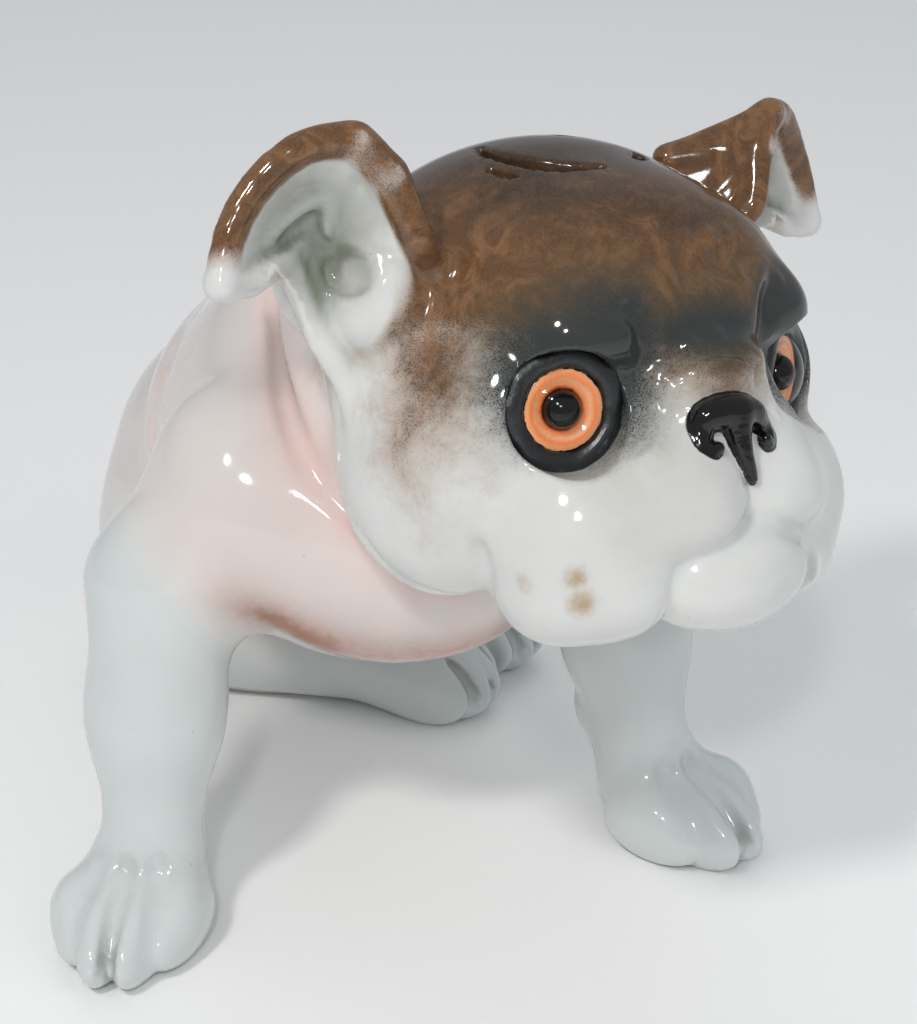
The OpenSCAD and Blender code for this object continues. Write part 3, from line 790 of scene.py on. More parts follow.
def colour_map(p, n):
    """How much of each colour lies at each point p whose normal is n, by name.

    Sprayed colours are distances in millimetres inside the edge of the spray, painted ones are distances
    inside the edge of the brush, and the rest are amounts from 0 to 1."""
    q = in_head(p)
    a = in_ear(q)
    parts = lumps(p)
    table = np.stack(list(parts.values()))
    names = list(parts)
    owner = np.array(names)[table.argmin(0)]
    is_head = 1.0 * (owner == "head_casting")
    is_ear = 1.0 * ((owner == "ear_right") | (owner == "ear_left"))
    x, y, z = q.T
    # Brown: over the crown, down to the brow in front, to the eye line at the temples and lower behind
    edge = 6.5 + 5.0 * ramp(a[:, 0], 24, 38) - 5.0 * ramp(y, -6, 30) - 3 * np.exp(-(x / 7) ** 2)
    brown = (z - edge) * 0.85
    brown = np.maximum(brown, 9 - 1.0 * size_of((a - (35, -9, 2)) * (1, 1, 0.6)) * 0.9)
    brown = np.maximum(brown, 4.5 - size_of((q - (0, -37.5, 5.5)) * (0.55, 1, 1)))
    cup = ramp(-ear_cup(a), -0.4, 0.9) * ramp(
        near(a, EAR_RIM, 8.0, 8.0, lambda v: along(v, EAR_RIM)), 2.2, 4.4)
    ear_brown = 10 - 18 * cup - 9 * ramp(a[:, 0], 60, 71) * ramp(-z, -36, -22)
    ear_brown = ear_brown - 14 * ramp(-z, -33, -19) * ramp(a[:, 0], 43, 47)
    ear_brown = ear_brown + 9 * np.exp(-(size_of((a - (42, -3, 15)) * (1, 0.7, 0.8)) / 6) ** 2)
    apart = ramp(parts["head_casting"], 0.6, 5.5) * is_ear
    brown = brown * (1 - apart) + ear_brown * apart
    # The spray ends softly on the neck
    onward = np.minimum(parts["torso_casting"] - parts["head_casting"], 40.0)
    brown = np.where(is_ear > 0, brown, np.minimum(brown, 1.5 * onward + 3.0))
    # Slate: over the brow lobes, round the tops of the eyes and in the folds between them
    slate = 1.4 - egg(a, (25.5, -28, 5.5), (12.4, 13, 10.5))
    slate = np.maximum(slate, 2.4 - egg(a, (20, -29, 12), (8.0, 9, 6.0)))
    slate = np.maximum(slate, -1.2 - egg(q, (-1, -36, 12.5), (13, 7, 5.0)))
    slate = np.where(is_head > 0, slate, -20)
    inner = (11 - 0.66 * size_of(a - (53, 8, 29.0))) * cup - 6 * (1 - cup)
    nose_edge = 0.45 - np.minimum(nose(q), 20.0)
    spot = 0.85 - size_of(q - (-2.6, -46.3, -12.9))
    # How enclosed each point is by the porcelain near it, at reaches of 2.2 and 6 mm: it darkens the glaze in
    # grooves and hollows as painted shade
    depth_near = np.clip(1 - porcelain(p + n * 2.2) / 2.2, -1, 1)
    depth_far = np.clip(1 - porcelain(p + n * 6.0) / 6.0, -1, 1)
    body = 1 - np.maximum(is_head, is_ear)
    legs = ramp(parts["torso_casting"], 0.3, 9.0) * body
    trunk_part = (1 - legs) * body
    folds = dab(p, [(-22, -2, 115), (-23, -10, 110.5), (-26, -30, 104.5), (-24, -44, 96), (-15, -52, 86),
                    (-5, -55, 77)], 6.0)
    arc = dab(p, [(-43, 25, 90), (-46, 22, 80), (-49, 10, 68), (-51, -12, 62), (-50, -30, 64)], 6.0)
    chest = ramp(-p[:, 1], 22, 50) * ramp(p[:, 2], 44, 64) * (1 - 0.5 * ramp(p[:, 2], 84, 104))
    blush = (0.16 + 0.42 * folds + 0.34 * arc + 0.14 * chest) * trunk_part
    rust = dab(p, [(-38, -38, 71), (-33, -41, 67), (-24, -45, 62), (-15, -46, 58), (-4, -46, 56),
                   (7, -45, 57), (17, -42, 62)], 6.0) * 0.7
    rust = rust + 0.45 * dab(p, [(-38, -38, 71), (-33, -41, 67), (-24, -45, 61)], 3.2)
    stain = np.zeros(len(p))
    for centre, r, amount in (((-38.0, -28.5, -26.0), 2.6, 0.8), ((-33, -37, -24.5), 2.8, 0.95),
                              ((-31.5, -37, -29), 3.0, 1.0), ((-14, -39.5, -8), 3.2, 0.5),
                              ((-10, -44, -15), 4.5, 0.3),
                              ((-41, -9, -22), 3.2, 0.5), ((-43, 2, 0), 4.0, 0.55),
                              ((18, -43, -27), 3.0, 0.5), ((14, -44.5, -20), 2.4, 0.5)):
        stain = np.maximum(stain, amount * np.exp(-(size_of(q - centre) / r) ** 2))
    stain = np.maximum(stain, 0.9 * np.exp(-(size_of(p - (-41, 3, 96)) / 1.2) ** 2))
    haze = np.maximum(0.55 * ramp(slate, -9, 2),
                      0.62 * ramp(4 - size_of(q - (-21, -36, -7)) * 0.36, -4, 3)) * is_head
    return {"brown": np.maximum(brown, -20.0), "slate": slate,
            "ear_grey": np.where(is_ear > 0, inner, -20), "nose_edge": np.maximum(nose_edge, spot),
            "groove": np.clip(0.65 * depth_near + 0.5 * depth_far, 0, 1), "blush": np.clip(blush, 0, 1),
            "rust": rust * trunk_part, "stain": stain, "haze": haze, "leg": legs}


# ---------------------------------------------------------------- mixing finishes

class Wire:
    """A value on its way between shader nodes. Arithmetic on it adds Math nodes."""

    def __init__(self, net, socket):
        self.net = net
        self.socket = socket

    def math(self, operation, first, second=0.0, clamp=False):
        """One Math node."""
        return self.net.add("ShaderNodeMath", {"operation": operation, "use_clamp": clamp},
                            {0: first, 1: second})

    def __add__(self, other):
        return self.math("ADD", self, other)

    def __radd__(self, other):
        return self.math("ADD", other, self)

    def __sub__(self, other):
        return self.math("SUBTRACT", self, other)

    def __rsub__(self, other):
        return self.math("SUBTRACT", other, self)

    def __mul__(self, other):
        return self.math("MULTIPLY", self, other)

    def __rmul__(self, other):
        return self.math("MULTIPLY", other, self)

    def __truediv__(self, other):
        return self.math("DIVIDE", self, other)

    def __rtruediv__(self, other):
        return self.math("DIVIDE", other, self)

    def __neg__(self):
        return self.math("MULTIPLY", self, -1.0)

    def __pow__(self, other):
        return self.math("POWER", self, other)

    def clamped(self):
        return self.math("ADD", self, 0.0, clamp=True)

    def above(self, low, high):
        """0 below low, 1 above high, and eased between."""
        return self.net.add("ShaderNodeMapRange", {"interpolation_type": "SMOOTHSTEP"},
                            {0: self, 1: low, 2: high})


class Net:
    """A tree of nodes as it is put together."""

    def __init__(self, tree):
        self.tree = tree

    def add(self, kind, settings=None, values=None, out=0):
        node = self.tree.nodes.new(kind)
        for key, value in (settings or {}).items():
            if key == "stops":
                band = node.color_ramp
                while len(band.elements) < len(value):
                    band.elements.new(0.5)
                for element, (at, colour) in zip(band.elements, value):
                    element.position = at
                    element.color = colour
            else:
                setattr(node, key, value)
        for key, value in (values or {}).items():
            if isinstance(value, Wire):
                self.tree.links.new(value.socket, node.inputs[key])
            else:
                node.inputs[key].default_value = value
        return Wire(self, node.outputs[out]) if len(node.outputs) else None


class Bench(Net):
    """A material as it is mixed."""

    def __init__(self, name):
        self.material = bpy.data.materials.new(name)
        self.material.use_nodes = True
        super().__init__(self.material.node_tree)
        self.tree.nodes.clear()
        self.place = self.add("ShaderNodeTexCoord", out="Object")

    def grain(self, size_mm, detail=3.0, rough=0.55, stretch=None, warp=0.0, place=None):
        """Noise from 0 to 1 whose lumps are size_mm across."""
        at = place or self.place
        if stretch:
            at = self.add("ShaderNodeMapping", None, {"Vector": at, "Scale": stretch})
        return self.add("ShaderNodeTexNoise", None, {
            "Vector": at, "Scale": 1000.0 / size_mm, "Detail": detail, "Roughness": rough,
            "Distortion": warp})

    def dots(self, size_mm, jitter=1.0):
        """Distance to the nearest of a scatter of dots, in dot spacings."""
        return self.add("ShaderNodeTexVoronoi", None, {"Vector": self.place, "Scale": 1000.0 / size_mm,
                                                       "Randomness": jitter})

    def mark(self, name):
        """An attribute that the piece carries."""
        return self.add("ShaderNodeAttribute", {"attribute_name": name}, out="Fac")

    def mix(self, amount, under, over):
        return self.add("ShaderNodeMix", {"data_type": "RGBA"}, {0: amount, 6: under, 7: over}, 2)

    def bump(self, height, strength, distance_mm):
        return self.add("ShaderNodeBump", None, {"Height": height, "Strength": strength,
                                                 "Distance": distance_mm * MM})

    def done(self, **values):
        named = {key.replace("_", " "): value for key, value in values.items()}
        shader = self.add("ShaderNodeBsdfPrincipled", None, named)
        self.add("ShaderNodeOutputMaterial", None, {"Surface": shader})
        return self.material


def rgba(colour):
    """A colour with its alpha."""
    return (*tuple(colour)[:3], 1.0)


def porcelain_finish(sets):
    """White porcelain, sprayed and painted under a clear gloss glaze, with painted shade in its grooves and
    hollows.
    """
    b = Bench("painted_porcelain")
    cloud = b.grain(26, 3)
    speck = b.grain(0.3, 2, 0.7)
    fleck = b.grain(1.6, 4, 0.65)
    drift = b.grain(9, 4, 0.6, warp=0.6)
    groove = b.mark("groove")
    white = b.mix(cloud.above(0.35, 0.65), rgba(sets.white), rgba([c * 0.93 for c in sets.white]))
    leg = b.mark("leg")
    base = b.mix(leg * 0.75, white, rgba(sets.leg_white))
    base = b.mix((b.mark("blush") * (0.55 + 0.9 * drift)).clamped(), base, rgba(sets.blush))
    base = b.mix((b.mark("haze") * (0.3 + 1.0 * drift)).clamped() * 0.8, base, rgba(sets.haze))
    # Painted shade: grey darkening in the grooves and hollows, stronger on the legs
    base = b.mix(groove.above(0.18, 0.85) * (0.30 + 0.25 * leg), base, rgba(sets.pool))
    base = b.mix((b.mark("rust") * (0.35 + 0.8 * fleck + 0.5 * drift)).clamped() * 0.85, base,
                 rgba(sets.rust))
    # Ear lining: grey over the hollow side of the ear, strongest in the middle of the hollow, and darker
    # still where the surface is enclosed, which is painted shade
    lining = (b.mark("ear_grey") + (drift - 0.5) * 5).above(-1, 5)
    base = b.mix(lining * (0.45 + 0.45 * groove.above(0.05, 0.6)), base, rgba(sets.ear_grey))
    # Brown: thin at its edge, where single drops show, and streaked where it lies thick
    spread = b.mark("brown") + (drift - 0.5) * 9 + (fleck - 0.5) * 3
    thin = spread.above(-7, 6)
    drops = (speck + 0.12 * thin).above(0.60, 0.74) * spread.above(-10, -1)
    thick = (spread + (b.grain(14, 5, 0.62, warp=1.2) - 0.5) * 26).above(11, 34)
    streak = b.grain(7.5, 6, 0.68, warp=1.6)
    warm = b.mix(streak.above(0.42, 0.66), rgba(sets.brown), rgba(sets.tan))
    warm = b.mix(thick, warm, rgba(sets.dark_brown))
    warm = b.mix((b.grain(3.2, 5, 0.7, warp=0.8).above(0.5, 0.75)) * 0.5, warm, rgba(sets.brown))
    base = b.mix((thin * 0.97 + 0.35 * drops).clamped(), base,
                 b.mix(thin.above(0.35, 0.95), rgba(sets.wash), warm))
    # Olive where the two sprays cross, and slate over the brown
    base = b.mix(b.mark("slate").above(-12, 1) * thin * 0.55, base, rgba(sets.olive))
    smoke = b.mark("slate") + (drift - 0.5) * 4.5 + (fleck - 0.5) * 2.4
    soot = (speck + 0.14 * smoke.above(-7, 2)).above(0.60, 0.74) * smoke.above(-9, -1)
    base = b.mix((smoke.above(-5.5, 4.2) * 0.93 + 0.35 * soot).clamped(), base, rgba(sets.slate))
    # Brushed black on the nose
    brush = (b.mark("nose_edge") + (fleck - 0.5) * 0.35).above(-0.10, 0.12)
    base = b.mix(brush, base, rgba(sets.black))
    base = b.mix((b.mark("stain") * 1.1 + (fleck - 0.5) * 0.7 + (drift - 0.5) * 0.6).above(0.2, 1.3), base,
                 rgba(sets.stain))
    # Kiln grit: a few dark pin points
    grit = 1 - b.dots(9).above(0.012, 0.028)
    base = b.mix(grit * 0.6, base, rgba(sets.pool))
    ripple = b.grain(5.5, 2, 0.4) * 0.8 + b.grain(1.1, 2, 0.5) * 0.12
    return b.done(Base_Color=base, Roughness=(0.05 + 0.09 * fleck + 0.10 * groove).clamped(), IOR=1.52,
                  Subsurface_Weight=0.10, Subsurface_Radius=(0.004, 0.003, 0.0024), Subsurface_Scale=0.6,
                  Normal=b.bump(ripple, 0.3, 0.3))


def eye_enamel(sets):
    """Orange enamel with a dark rim, brushed round by hand so that both its edges are ragged, with painted
    shade next to the pupil and painted highlights as lighter rings in the orange.
    """
    b = Bench("orange_iris_enamel")
    r = b.mark("ring")
    wobble = b.grain(2.2, 4, 0.7) - 0.5
    fibre = b.grain(0.8, 4, 0.7) - 0.5
    # Colour across the iris: the dark band next to the pupil is painted shade, and the two lighter peach
    # rings are painted highlights
    enamel_with_painted_light = b.add("ShaderNodeValToRGB", {"stops": [
        (0.485, (0.10, 0.018, 0.006, 1)), (0.51, (0.50, 0.10, 0.02, 1)), (0.57, rgba(sets.enamel)),
        (0.70, (1.0, 0.46, 0.22, 1)), (0.80, rgba(sets.enamel)), (0.92, (1.0, 0.42, 0.19, 1))]},
        {"Fac": r + wobble * 0.07 + fibre * 0.10})
    rim = (r + wobble * 0.20 + fibre * 0.06).above(0.945, 0.965)
    return b.done(Base_Color=b.mix(rim, enamel_with_painted_light, rgba(sets.black)), Roughness=0.25 + 0.2 * fibre,
                  Coat_Weight=0.8, Coat_Roughness=0.05,
                  Normal=b.bump(fibre * 0.6 + wobble, 0.5, 0.35))


def putty(sets):
    """Black putty, pressed in with a finger: dull in the pits, shiny on the ridges."""
    b = Bench("black_eye_putty")
    lump = b.grain(2.4, 4, 0.6, warp=0.5)
    pit = b.grain(0.5, 3, 0.6)
    grime = (b.grain(3.5, 4, 0.7)).above(0.55, 0.75)
    base = b.mix(grime * 0.35, rgba(sets.putty), rgba([0.07, 0.085, 0.085]))
    return b.done(Base_Color=base, Roughness=(0.20 + 0.35 * lump).clamped(), Coat_Weight=0.3,
                  Coat_Roughness=0.12, Normal=b.bump(lump * 0.7 + pit * 0.25, 0.6, 0.5))


def glossy_black():
    """Black pressed glass of the pupil."""
    b = Bench("black_pupil_glass")
    mist = b.grain(4, 2)
    return b.done(Base_Color=b.mix(mist, (0.002, 0.002, 0.0025, 1), (0.005, 0.004, 0.004, 1)),
                  Roughness=0.03 + 0.05 * mist, IOR=1.45)


def clear_glass(name, tint, rough=0.02):
    """Clear glass, thin enough to see straight through, with faint smears in its shine."""
    b = Bench(name)
    smear = b.grain(6, 3, 0.6, stretch=(1, 1, 3))
    clear = b.add("ShaderNodeBsdfTransparent", None, {"Color": rgba(tint)})
    shine = b.add("ShaderNodeBsdfPrincipled", None, {"Base Color": (1, 1, 1, 1), "Metallic": 1.0,
                                                     "Roughness": rough + 0.05 * smear.above(0.4, 0.8)})
    front = 1 - b.add("ShaderNodeNewGeometry", out="Backfacing")
    edge = (b.add("ShaderNodeLayerWeight", None, {"Blend": 0.5}, "Facing") ** 4 * 0.6 + 0.012) * front
    b.add("ShaderNodeOutputMaterial", None,
          {0: b.add("ShaderNodeMixShader", None, {0: edge, 1: clear, 2: shine})})
    return b.material


def metal_finish(name, colour, tarnish, rough, brushed=(1, 1, 1), wear=0.5):
    """Sheet or turned metal with rolling marks, tarnish in patches and handling wear."""
    b = Bench(name)
    line = b.grain(1.4, 4, 0.6, stretch=brushed)
    patch = b.grain(7, 5, 0.65, warp=0.8)
    spots = 1 - b.dots(3.5).above(0.05, 0.16)
    base = b.mix(patch.above(0.42, 0.70) * wear, rgba(colour), rgba(tarnish))
    base = b.mix(spots * 0.5, base, rgba([c * 0.5 for c in tarnish]))
    return b.done(Base_Color=base, Metallic=1.0 - 0.25 * spots, Roughness=(rough + 0.25 * patch * wear
                  + 0.12 * (line - 0.5)).clamped(), Normal=b.bump(line * 0.6 + spots * 0.2, 0.35, 0.12))


def rubber_finish(sets):
    """Moulded rubber, slightly chalky with age."""
    b = Bench("moulded_black_rubber")
    chalk = b.grain(2.8, 5, 0.7)
    fine = b.grain(0.35, 2, 0.6)
    return b.done(Base_Color=b.mix(chalk.above(0.5, 0.8) * 0.6, rgba(sets.putty), (0.06, 0.06, 0.058, 1)),
                  Roughness=0.62 + 0.2 * chalk, Normal=b.bump(fine * 0.5 + chalk * 0.5, 0.5, 0.15))


def holder_finish():
    """Steatite of the lampholder: a matt cream ceramic with scattered grog and a scorched mouth."""
    b = Bench("steatite_lampholder")
    height = b.add("ShaderNodeSeparateXYZ", None, {0: b.place}, 2)
    speck = 1 - b.dots(1.3).above(0.08, 0.22)
    cloud = b.grain(6, 4)
    scorch = (height * 1000 + (cloud - 0.5) * 8).above(27, 36)
    base = b.mix(cloud, (0.72, 0.66, 0.53, 1), (0.62, 0.55, 0.42, 1))
    base = b.mix(speck * 0.4, base, (0.30, 0.24, 0.17, 1))
    base = b.mix(scorch * 0.5, base, (0.36, 0.24, 0.13, 1))
    return b.done(Base_Color=base, Roughness=0.42 + 0.2 * cloud, Normal=b.bump(b.grain(0.6, 3), 0.4, 0.12))


def paper_floor(sets):
    """The pale sweep that the figure stands on."""
    b = Bench("pale_sweep")
    tooth = b.grain(2.5, 3)
    return b.done(Base_Color=b.mix(tooth, rgba(sets.sweep), rgba([c * 0.985 for c in sets.sweep])),
                  Roughness=0.75 + 0.1 * tooth)


# ---------------------------------------------------------------- small solid pieces

def to_row(points, axes=None, at=(0, 0, 0)):
    """Millimetres in the layout, or in axes at a place in it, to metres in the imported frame."""
    p = np.asarray(points, float)
    if axes is not None:
        p = p @ np.asarray(axes).T
    return (p + np.asarray(at, float) + GRID_SHIFT) * MM


def new_piece(name, me, material, body, slot, *nodes):
    """Put a finished mesh in the scene as a piece that rides on a body and stands for its nodes."""
    obj = bpy.data.objects.new(name, me)
    bpy.context.scene.collection.objects.link(obj)
    me.materials.clear()
    me.materials.append(material)
    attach(obj, body)
    if nodes:
        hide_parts(*nodes)
    return obj


def turned(name, profile, axes, at, around_steps=64, closed=False, shape=None):
    """A turned solid: profile (radius, height) pairs spun about the third of the axes.

    A closed profile makes a ring; an open one starts and ends on the axis. shape(angle, r, h) may
    move each point, for a hand-made unevenness."""
    bm = bmesh.new()
    rows = []
    for i in range(around_steps):
        t = 2 * math.pi * i / around_steps
        row = []
        for r, h in profile:
            if shape and r > 1e-6:
                r, h = shape(t, r, h)
            row.append(bm.verts.new((r * math.cos(t), r * math.sin(t), h)))
        rows.append(row)
    count = len(profile)
    for i in range(around_steps):
        a, b = rows[i], rows[(i + 1) % around_steps]
        for j in range(count if closed else count - 1):
            k = (j + 1) % count
            bm.faces.new((a[j], b[j], b[k], a[k]))
    bmesh.ops.remove_doubles(bm, verts=bm.verts, dist=1e-5)
    bmesh.ops.recalc_face_normals(bm, faces=bm.faces[:])
    if bm.calc_volume(signed=True) < 0:
        bmesh.ops.reverse_faces(bm, faces=bm.faces[:])
    me = bpy.data.meshes.new(name)
    bm.to_mesh(me)
    bm.free()
    local = np.array([v.co for v in me.vertices])
    place = to_row(local, axes, at)
    me.vertices.foreach_set("co", place.astype(np.float32).ravel())
    for poly in me.polygons:
        poly.use_smooth = True
    me.update()
    return me, local


def sharpen(me, angle=32):
    """Keep edges sharper than angle crisp."""
    me.set_sharp_from_angle(angle=math.radians(angle))


def arc(centre, r, start, end, steps):
    """Points of an arc, angles in degrees from the radius axis."""
    return [(centre[0] + r * math.cos(math.radians(start + (end - start) * i / steps)),
             centre[1] + r * math.sin(math.radians(start + (end - start) * i / steps)))
            for i in range(steps + 1)]


def pattern(name, numbers):
    """A new geometry tree with a Geometry input, an input for each of numbers and a Finish input."""
    tree = bpy.data.node_groups.new(name, "GeometryNodeTree")
    tree.is_modifier = True
    kinds = {int: "NodeSocketInt", float: "NodeSocketFloat", tuple: "NodeSocketVector"}
    tree.interface.new_socket("Geometry", in_out="INPUT", socket_type="NodeSocketGeometry")
    for label, kind in numbers.items():
        tree.interface.new_socket(label, in_out="INPUT", socket_type=kinds[kind])
    tree.interface.new_socket("Finish", in_out="INPUT", socket_type="NodeSocketMaterial")
    tree.interface.new_socket("Geometry", in_out="OUTPUT", socket_type="NodeSocketGeometry")
    net = Net(tree)
    source = tree.nodes.new("NodeGroupInput")
    given = {socket.name: Wire(net, socket) for socket in source.outputs if socket.name}
    return net, given


def finish_pattern(net, given, shape):
    """End a geometry tree in real, finished geometry."""
    real = net.add("GeometryNodeRealizeInstances", None, {0: shape})
    coated = net.add("GeometryNodeSetMaterial", None, {"Geometry": real, "Material": given["Finish"]})
    net.add("NodeGroupOutput", None, {0: coated})


def ring_pattern():
    """Copies of one piece turned round an axis."""
    net, given = pattern("copies_round_an_axis", {"Count": int, "Start Angle": float, "Axis": tuple})
    points = net.add("GeometryNodePoints", None, {"Count": given["Count"], "Position": given["Axis"]})
    index = net.add("GeometryNodeInputIndex")
    angle = index * (2 * math.pi) / given["Count"] + given["Start Angle"]
    spin = net.add("ShaderNodeCombineXYZ", None, {"Z": angle})
    copies = net.add("GeometryNodeInstanceOnPoints", None,
                     {"Points": points, "Instance": given["Geometry"], "Rotation": spin})
    finish_pattern(net, given, copies)
    return net.tree


def coil_pattern():
    """A close coil of wire."""
    net, given = pattern("coiled_wire", {"Turns": float, "Coil Radius": float, "Length": float,
                                         "Wire Radius": float, "Axis": tuple})
    spiral = net.add("GeometryNodeCurveSpiral", None,
                     {"Resolution": 18, "Rotations": given["Turns"], "Start Radius": given["Coil Radius"],
                      "End Radius": given["Coil Radius"], "Height": given["Length"]})
    section = net.add("GeometryNodeCurvePrimitiveCircle", None,
                      {"Resolution": 6, "Radius": given["Wire Radius"]})
    wire = net.add("GeometryNodeCurveToMesh", None, {"Curve": spiral, "Profile Curve": section,
                                                     "Fill Caps": True})
    lying = net.add("GeometryNodeTransform", None,
                    {"Geometry": wire, "Translation": given["Axis"], "Rotation": (0, math.pi / 2, 0)})
    finish_pattern(net, given, lying)
    return net.tree


def grown(name, seed_mesh, tree, material, **numbers):
    """The plain mesh that a geometry tree makes from a seed mesh."""
    obj = bpy.data.objects.new(name, seed_mesh)
    grower = obj.modifiers.new("Pattern", "NODES")
    grower.node_group = tree
    wanted = {key.replace("_", " "): value for key, value in numbers.items()}
    wanted["Finish"] = material
    for item in tree.interface.items_tree:
        if item.in_out == "INPUT" and item.name in wanted:
            grower[item.identifier] = wanted[item.name]
    bpy.context.scene.collection.objects.link(obj)
    ready = obj.evaluated_get(bpy.context.evaluated_depsgraph_get())
    me = bpy.data.meshes.new_from_object(ready)
    me.name = name
    bpy.data.objects.remove(obj)
    return me


# ---------------------------------------------------------------- settings

def colour_setting(name, text, default):
    return bpy.props.FloatVectorProperty(name=name, description=text, default=default, subtype="COLOR",
                                         size=3, min=0.0, max=1.0)


class BulldogGlazes(bpy.types.PropertyGroup):
    """Colours of the glazes, paints and small parts."""

    white: colour_setting("White glaze", "Clear glaze over white porcelain", (0.73, 0.735, 0.715))
    leg_white: colour_setting("Leg glaze", "Cooler glaze of the legs", (0.62, 0.675, 0.665))
    blush: colour_setting("Blush", "Pink spray on the body", (0.84, 0.56, 0.50))
    # Colour of the painted shade in the grooves and hollows, and of the kiln grit
    haze: colour_setting("Haze", "Grey overspray on the cheeks", (0.42, 0.40, 0.33))
    pool: colour_setting("Groove shade and grit", "Grey that gathers in the grooves", (0.24, 0.27, 0.25))
    rust: colour_setting("Rust", "Terracotta spray under the belly", (0.34, 0.135, 0.07))
    stain: colour_setting("Stain", "Tan age stains", (0.43, 0.29, 0.15))
    tan: colour_setting("Tan", "Light streaks in the brown", (0.235, 0.112, 0.042))
    brown: colour_setting("Brown", "Brown spray over the head", (0.120, 0.055, 0.019))
    dark_brown: colour_setting("Dark brown", "Thickest brown, on the crown", (0.036, 0.020, 0.010))
    wash: colour_setting("Wash", "Brown where it lies thin over white", (0.36, 0.215, 0.115))
    olive: colour_setting("Olive", "Where slate thins out over brown", (0.080, 0.066, 0.040))
    slate: colour_setting("Slate", "Slate spray round the eyes", (0.032, 0.039, 0.038))
    ear_grey: colour_setting("Ear lining", "Grey-green wash inside the ears", (0.185, 0.20, 0.15))
    black: colour_setting("Black", "Black enamel of the nose", (0.005, 0.005, 0.005))
    putty: colour_setting("Putty", "Black putty and rubber", (0.010, 0.012, 0.014))
    enamel: colour_setting("Iris enamel", "Orange enamel of the eyes", (1.0, 0.235, 0.05))
    brass: colour_setting("Brass", "Sheet brass of the lamp", (0.70, 0.49, 0.20))
    steel: colour_setting("Steel", "Spring steel and bracket", (0.46, 0.47, 0.48))
    nickel: colour_setting("Nickel", "Plated cap of the bulb", (0.66, 0.64, 0.60))
    sweep: colour_setting("Sweep", "Pale floor", (0.965, 0.965, 0.96))


class BulldogSizes(bpy.types.PropertyGroup):
    """Sizes of the modelling."""

    clay_step: bpy.props.FloatProperty(name="Clay step",
                                       description="Distance between points on the porcelain",
                                       default=1.15 * MM, min=0.8 * MM, max=4 * MM, unit="LENGTH",
                                       precision=5)
    spring_thickness: bpy.props.FloatProperty(name="Spring thickness",
                                              description="Thickness of the leaf springs",
                                              default=0.4 * MM, min=0.2 * MM, max=1 * MM, unit="LENGTH",
                                              precision=5)
    filament_turns: bpy.props.IntProperty(name="Filament turns", description="Turns of the bulb's filament",
                                          default=26, min=6, max=60)
    camera_distance: bpy.props.FloatProperty(name="Camera distance",
                                             description="From the camera to its target",
                                             default=420 * MM, min=0.2, max=2.0, unit="LENGTH")


# ---------------------------------------------------------------- the pieces

FIGURE, LAMP_UNIT, BULB = "figure", "lamp_unit", "bulb"
CASTING_SLOTS = {"torso_casting": "blush_porcelain", "tail": "blush_porcelain",
                 "head_casting": "brown_porcelain", "ear_right": "brown_porcelain",
                 "ear_left": "brown_porcelain"}


class BULLDOG_OT_porcelain(bpy.types.Operator):
    """Model, cut apart and paint the porcelain castings"""

    bl_idname = "bulldog.porcelain"
    bl_label = "Porcelain castings"

    def execute(self, context):
        sets = context.scene.bulldog_glazes
        step = context.scene.bulldog_sizes.clay_step / MM
        points, quads = skin_quads(porcelain, step)
        points = settle(points, porcelain, 2, step)
        middle = points[quads].mean(1)
        q = in_head(middle)
        fine = (q > FINE_LOW).all(1) & (q < FINE_HIGH).all(1) & (skin(middle) > INSIDE_DEPTH)
        points, quads, fans = refine(points, quads, fine)
        points = settle(points, porcelain, 2, step / 2)
        parts = lumps(points)
        inner = skin(points, parts) < INSIDE_DEPTH
        for name in parts:
            if name not in ("torso_casting", "head_casting"):
                parts[name] = np.where(inner, 60.0, parts[name])
        whole = mesh_from("porcelain", points, quads, fans)
        points, faces = saw_apart(whole, parts)
        bpy.data.meshes.remove(whole)
        normals = slope(porcelain, points)
        normals /= np.maximum(size_of(normals), 1e-9)[:, None]
        paint = colour_map(points, normals)
        finish = porcelain_finish(sets)
        for name, own in faces.items():
            if not own:
                raise RuntimeError(f"{name} has no faces")
            me, used = closed_piece(name, points, own, normals)
            for mark, values in paint.items():
                layer = me.attributes.new(mark, "FLOAT", "POINT")
                layer.data.foreach_set("value", values[used].astype(np.float32))
            new_piece(name + "_glazed", me, finish, FIGURE, CASTING_SLOTS.get(name, "white_porcelain"), name)
        return {"FINISHED"}


IRIS_R = 7.0
PUPIL_R = 3.4
DOME_H = 3.6       # the glass above the edge of the iris


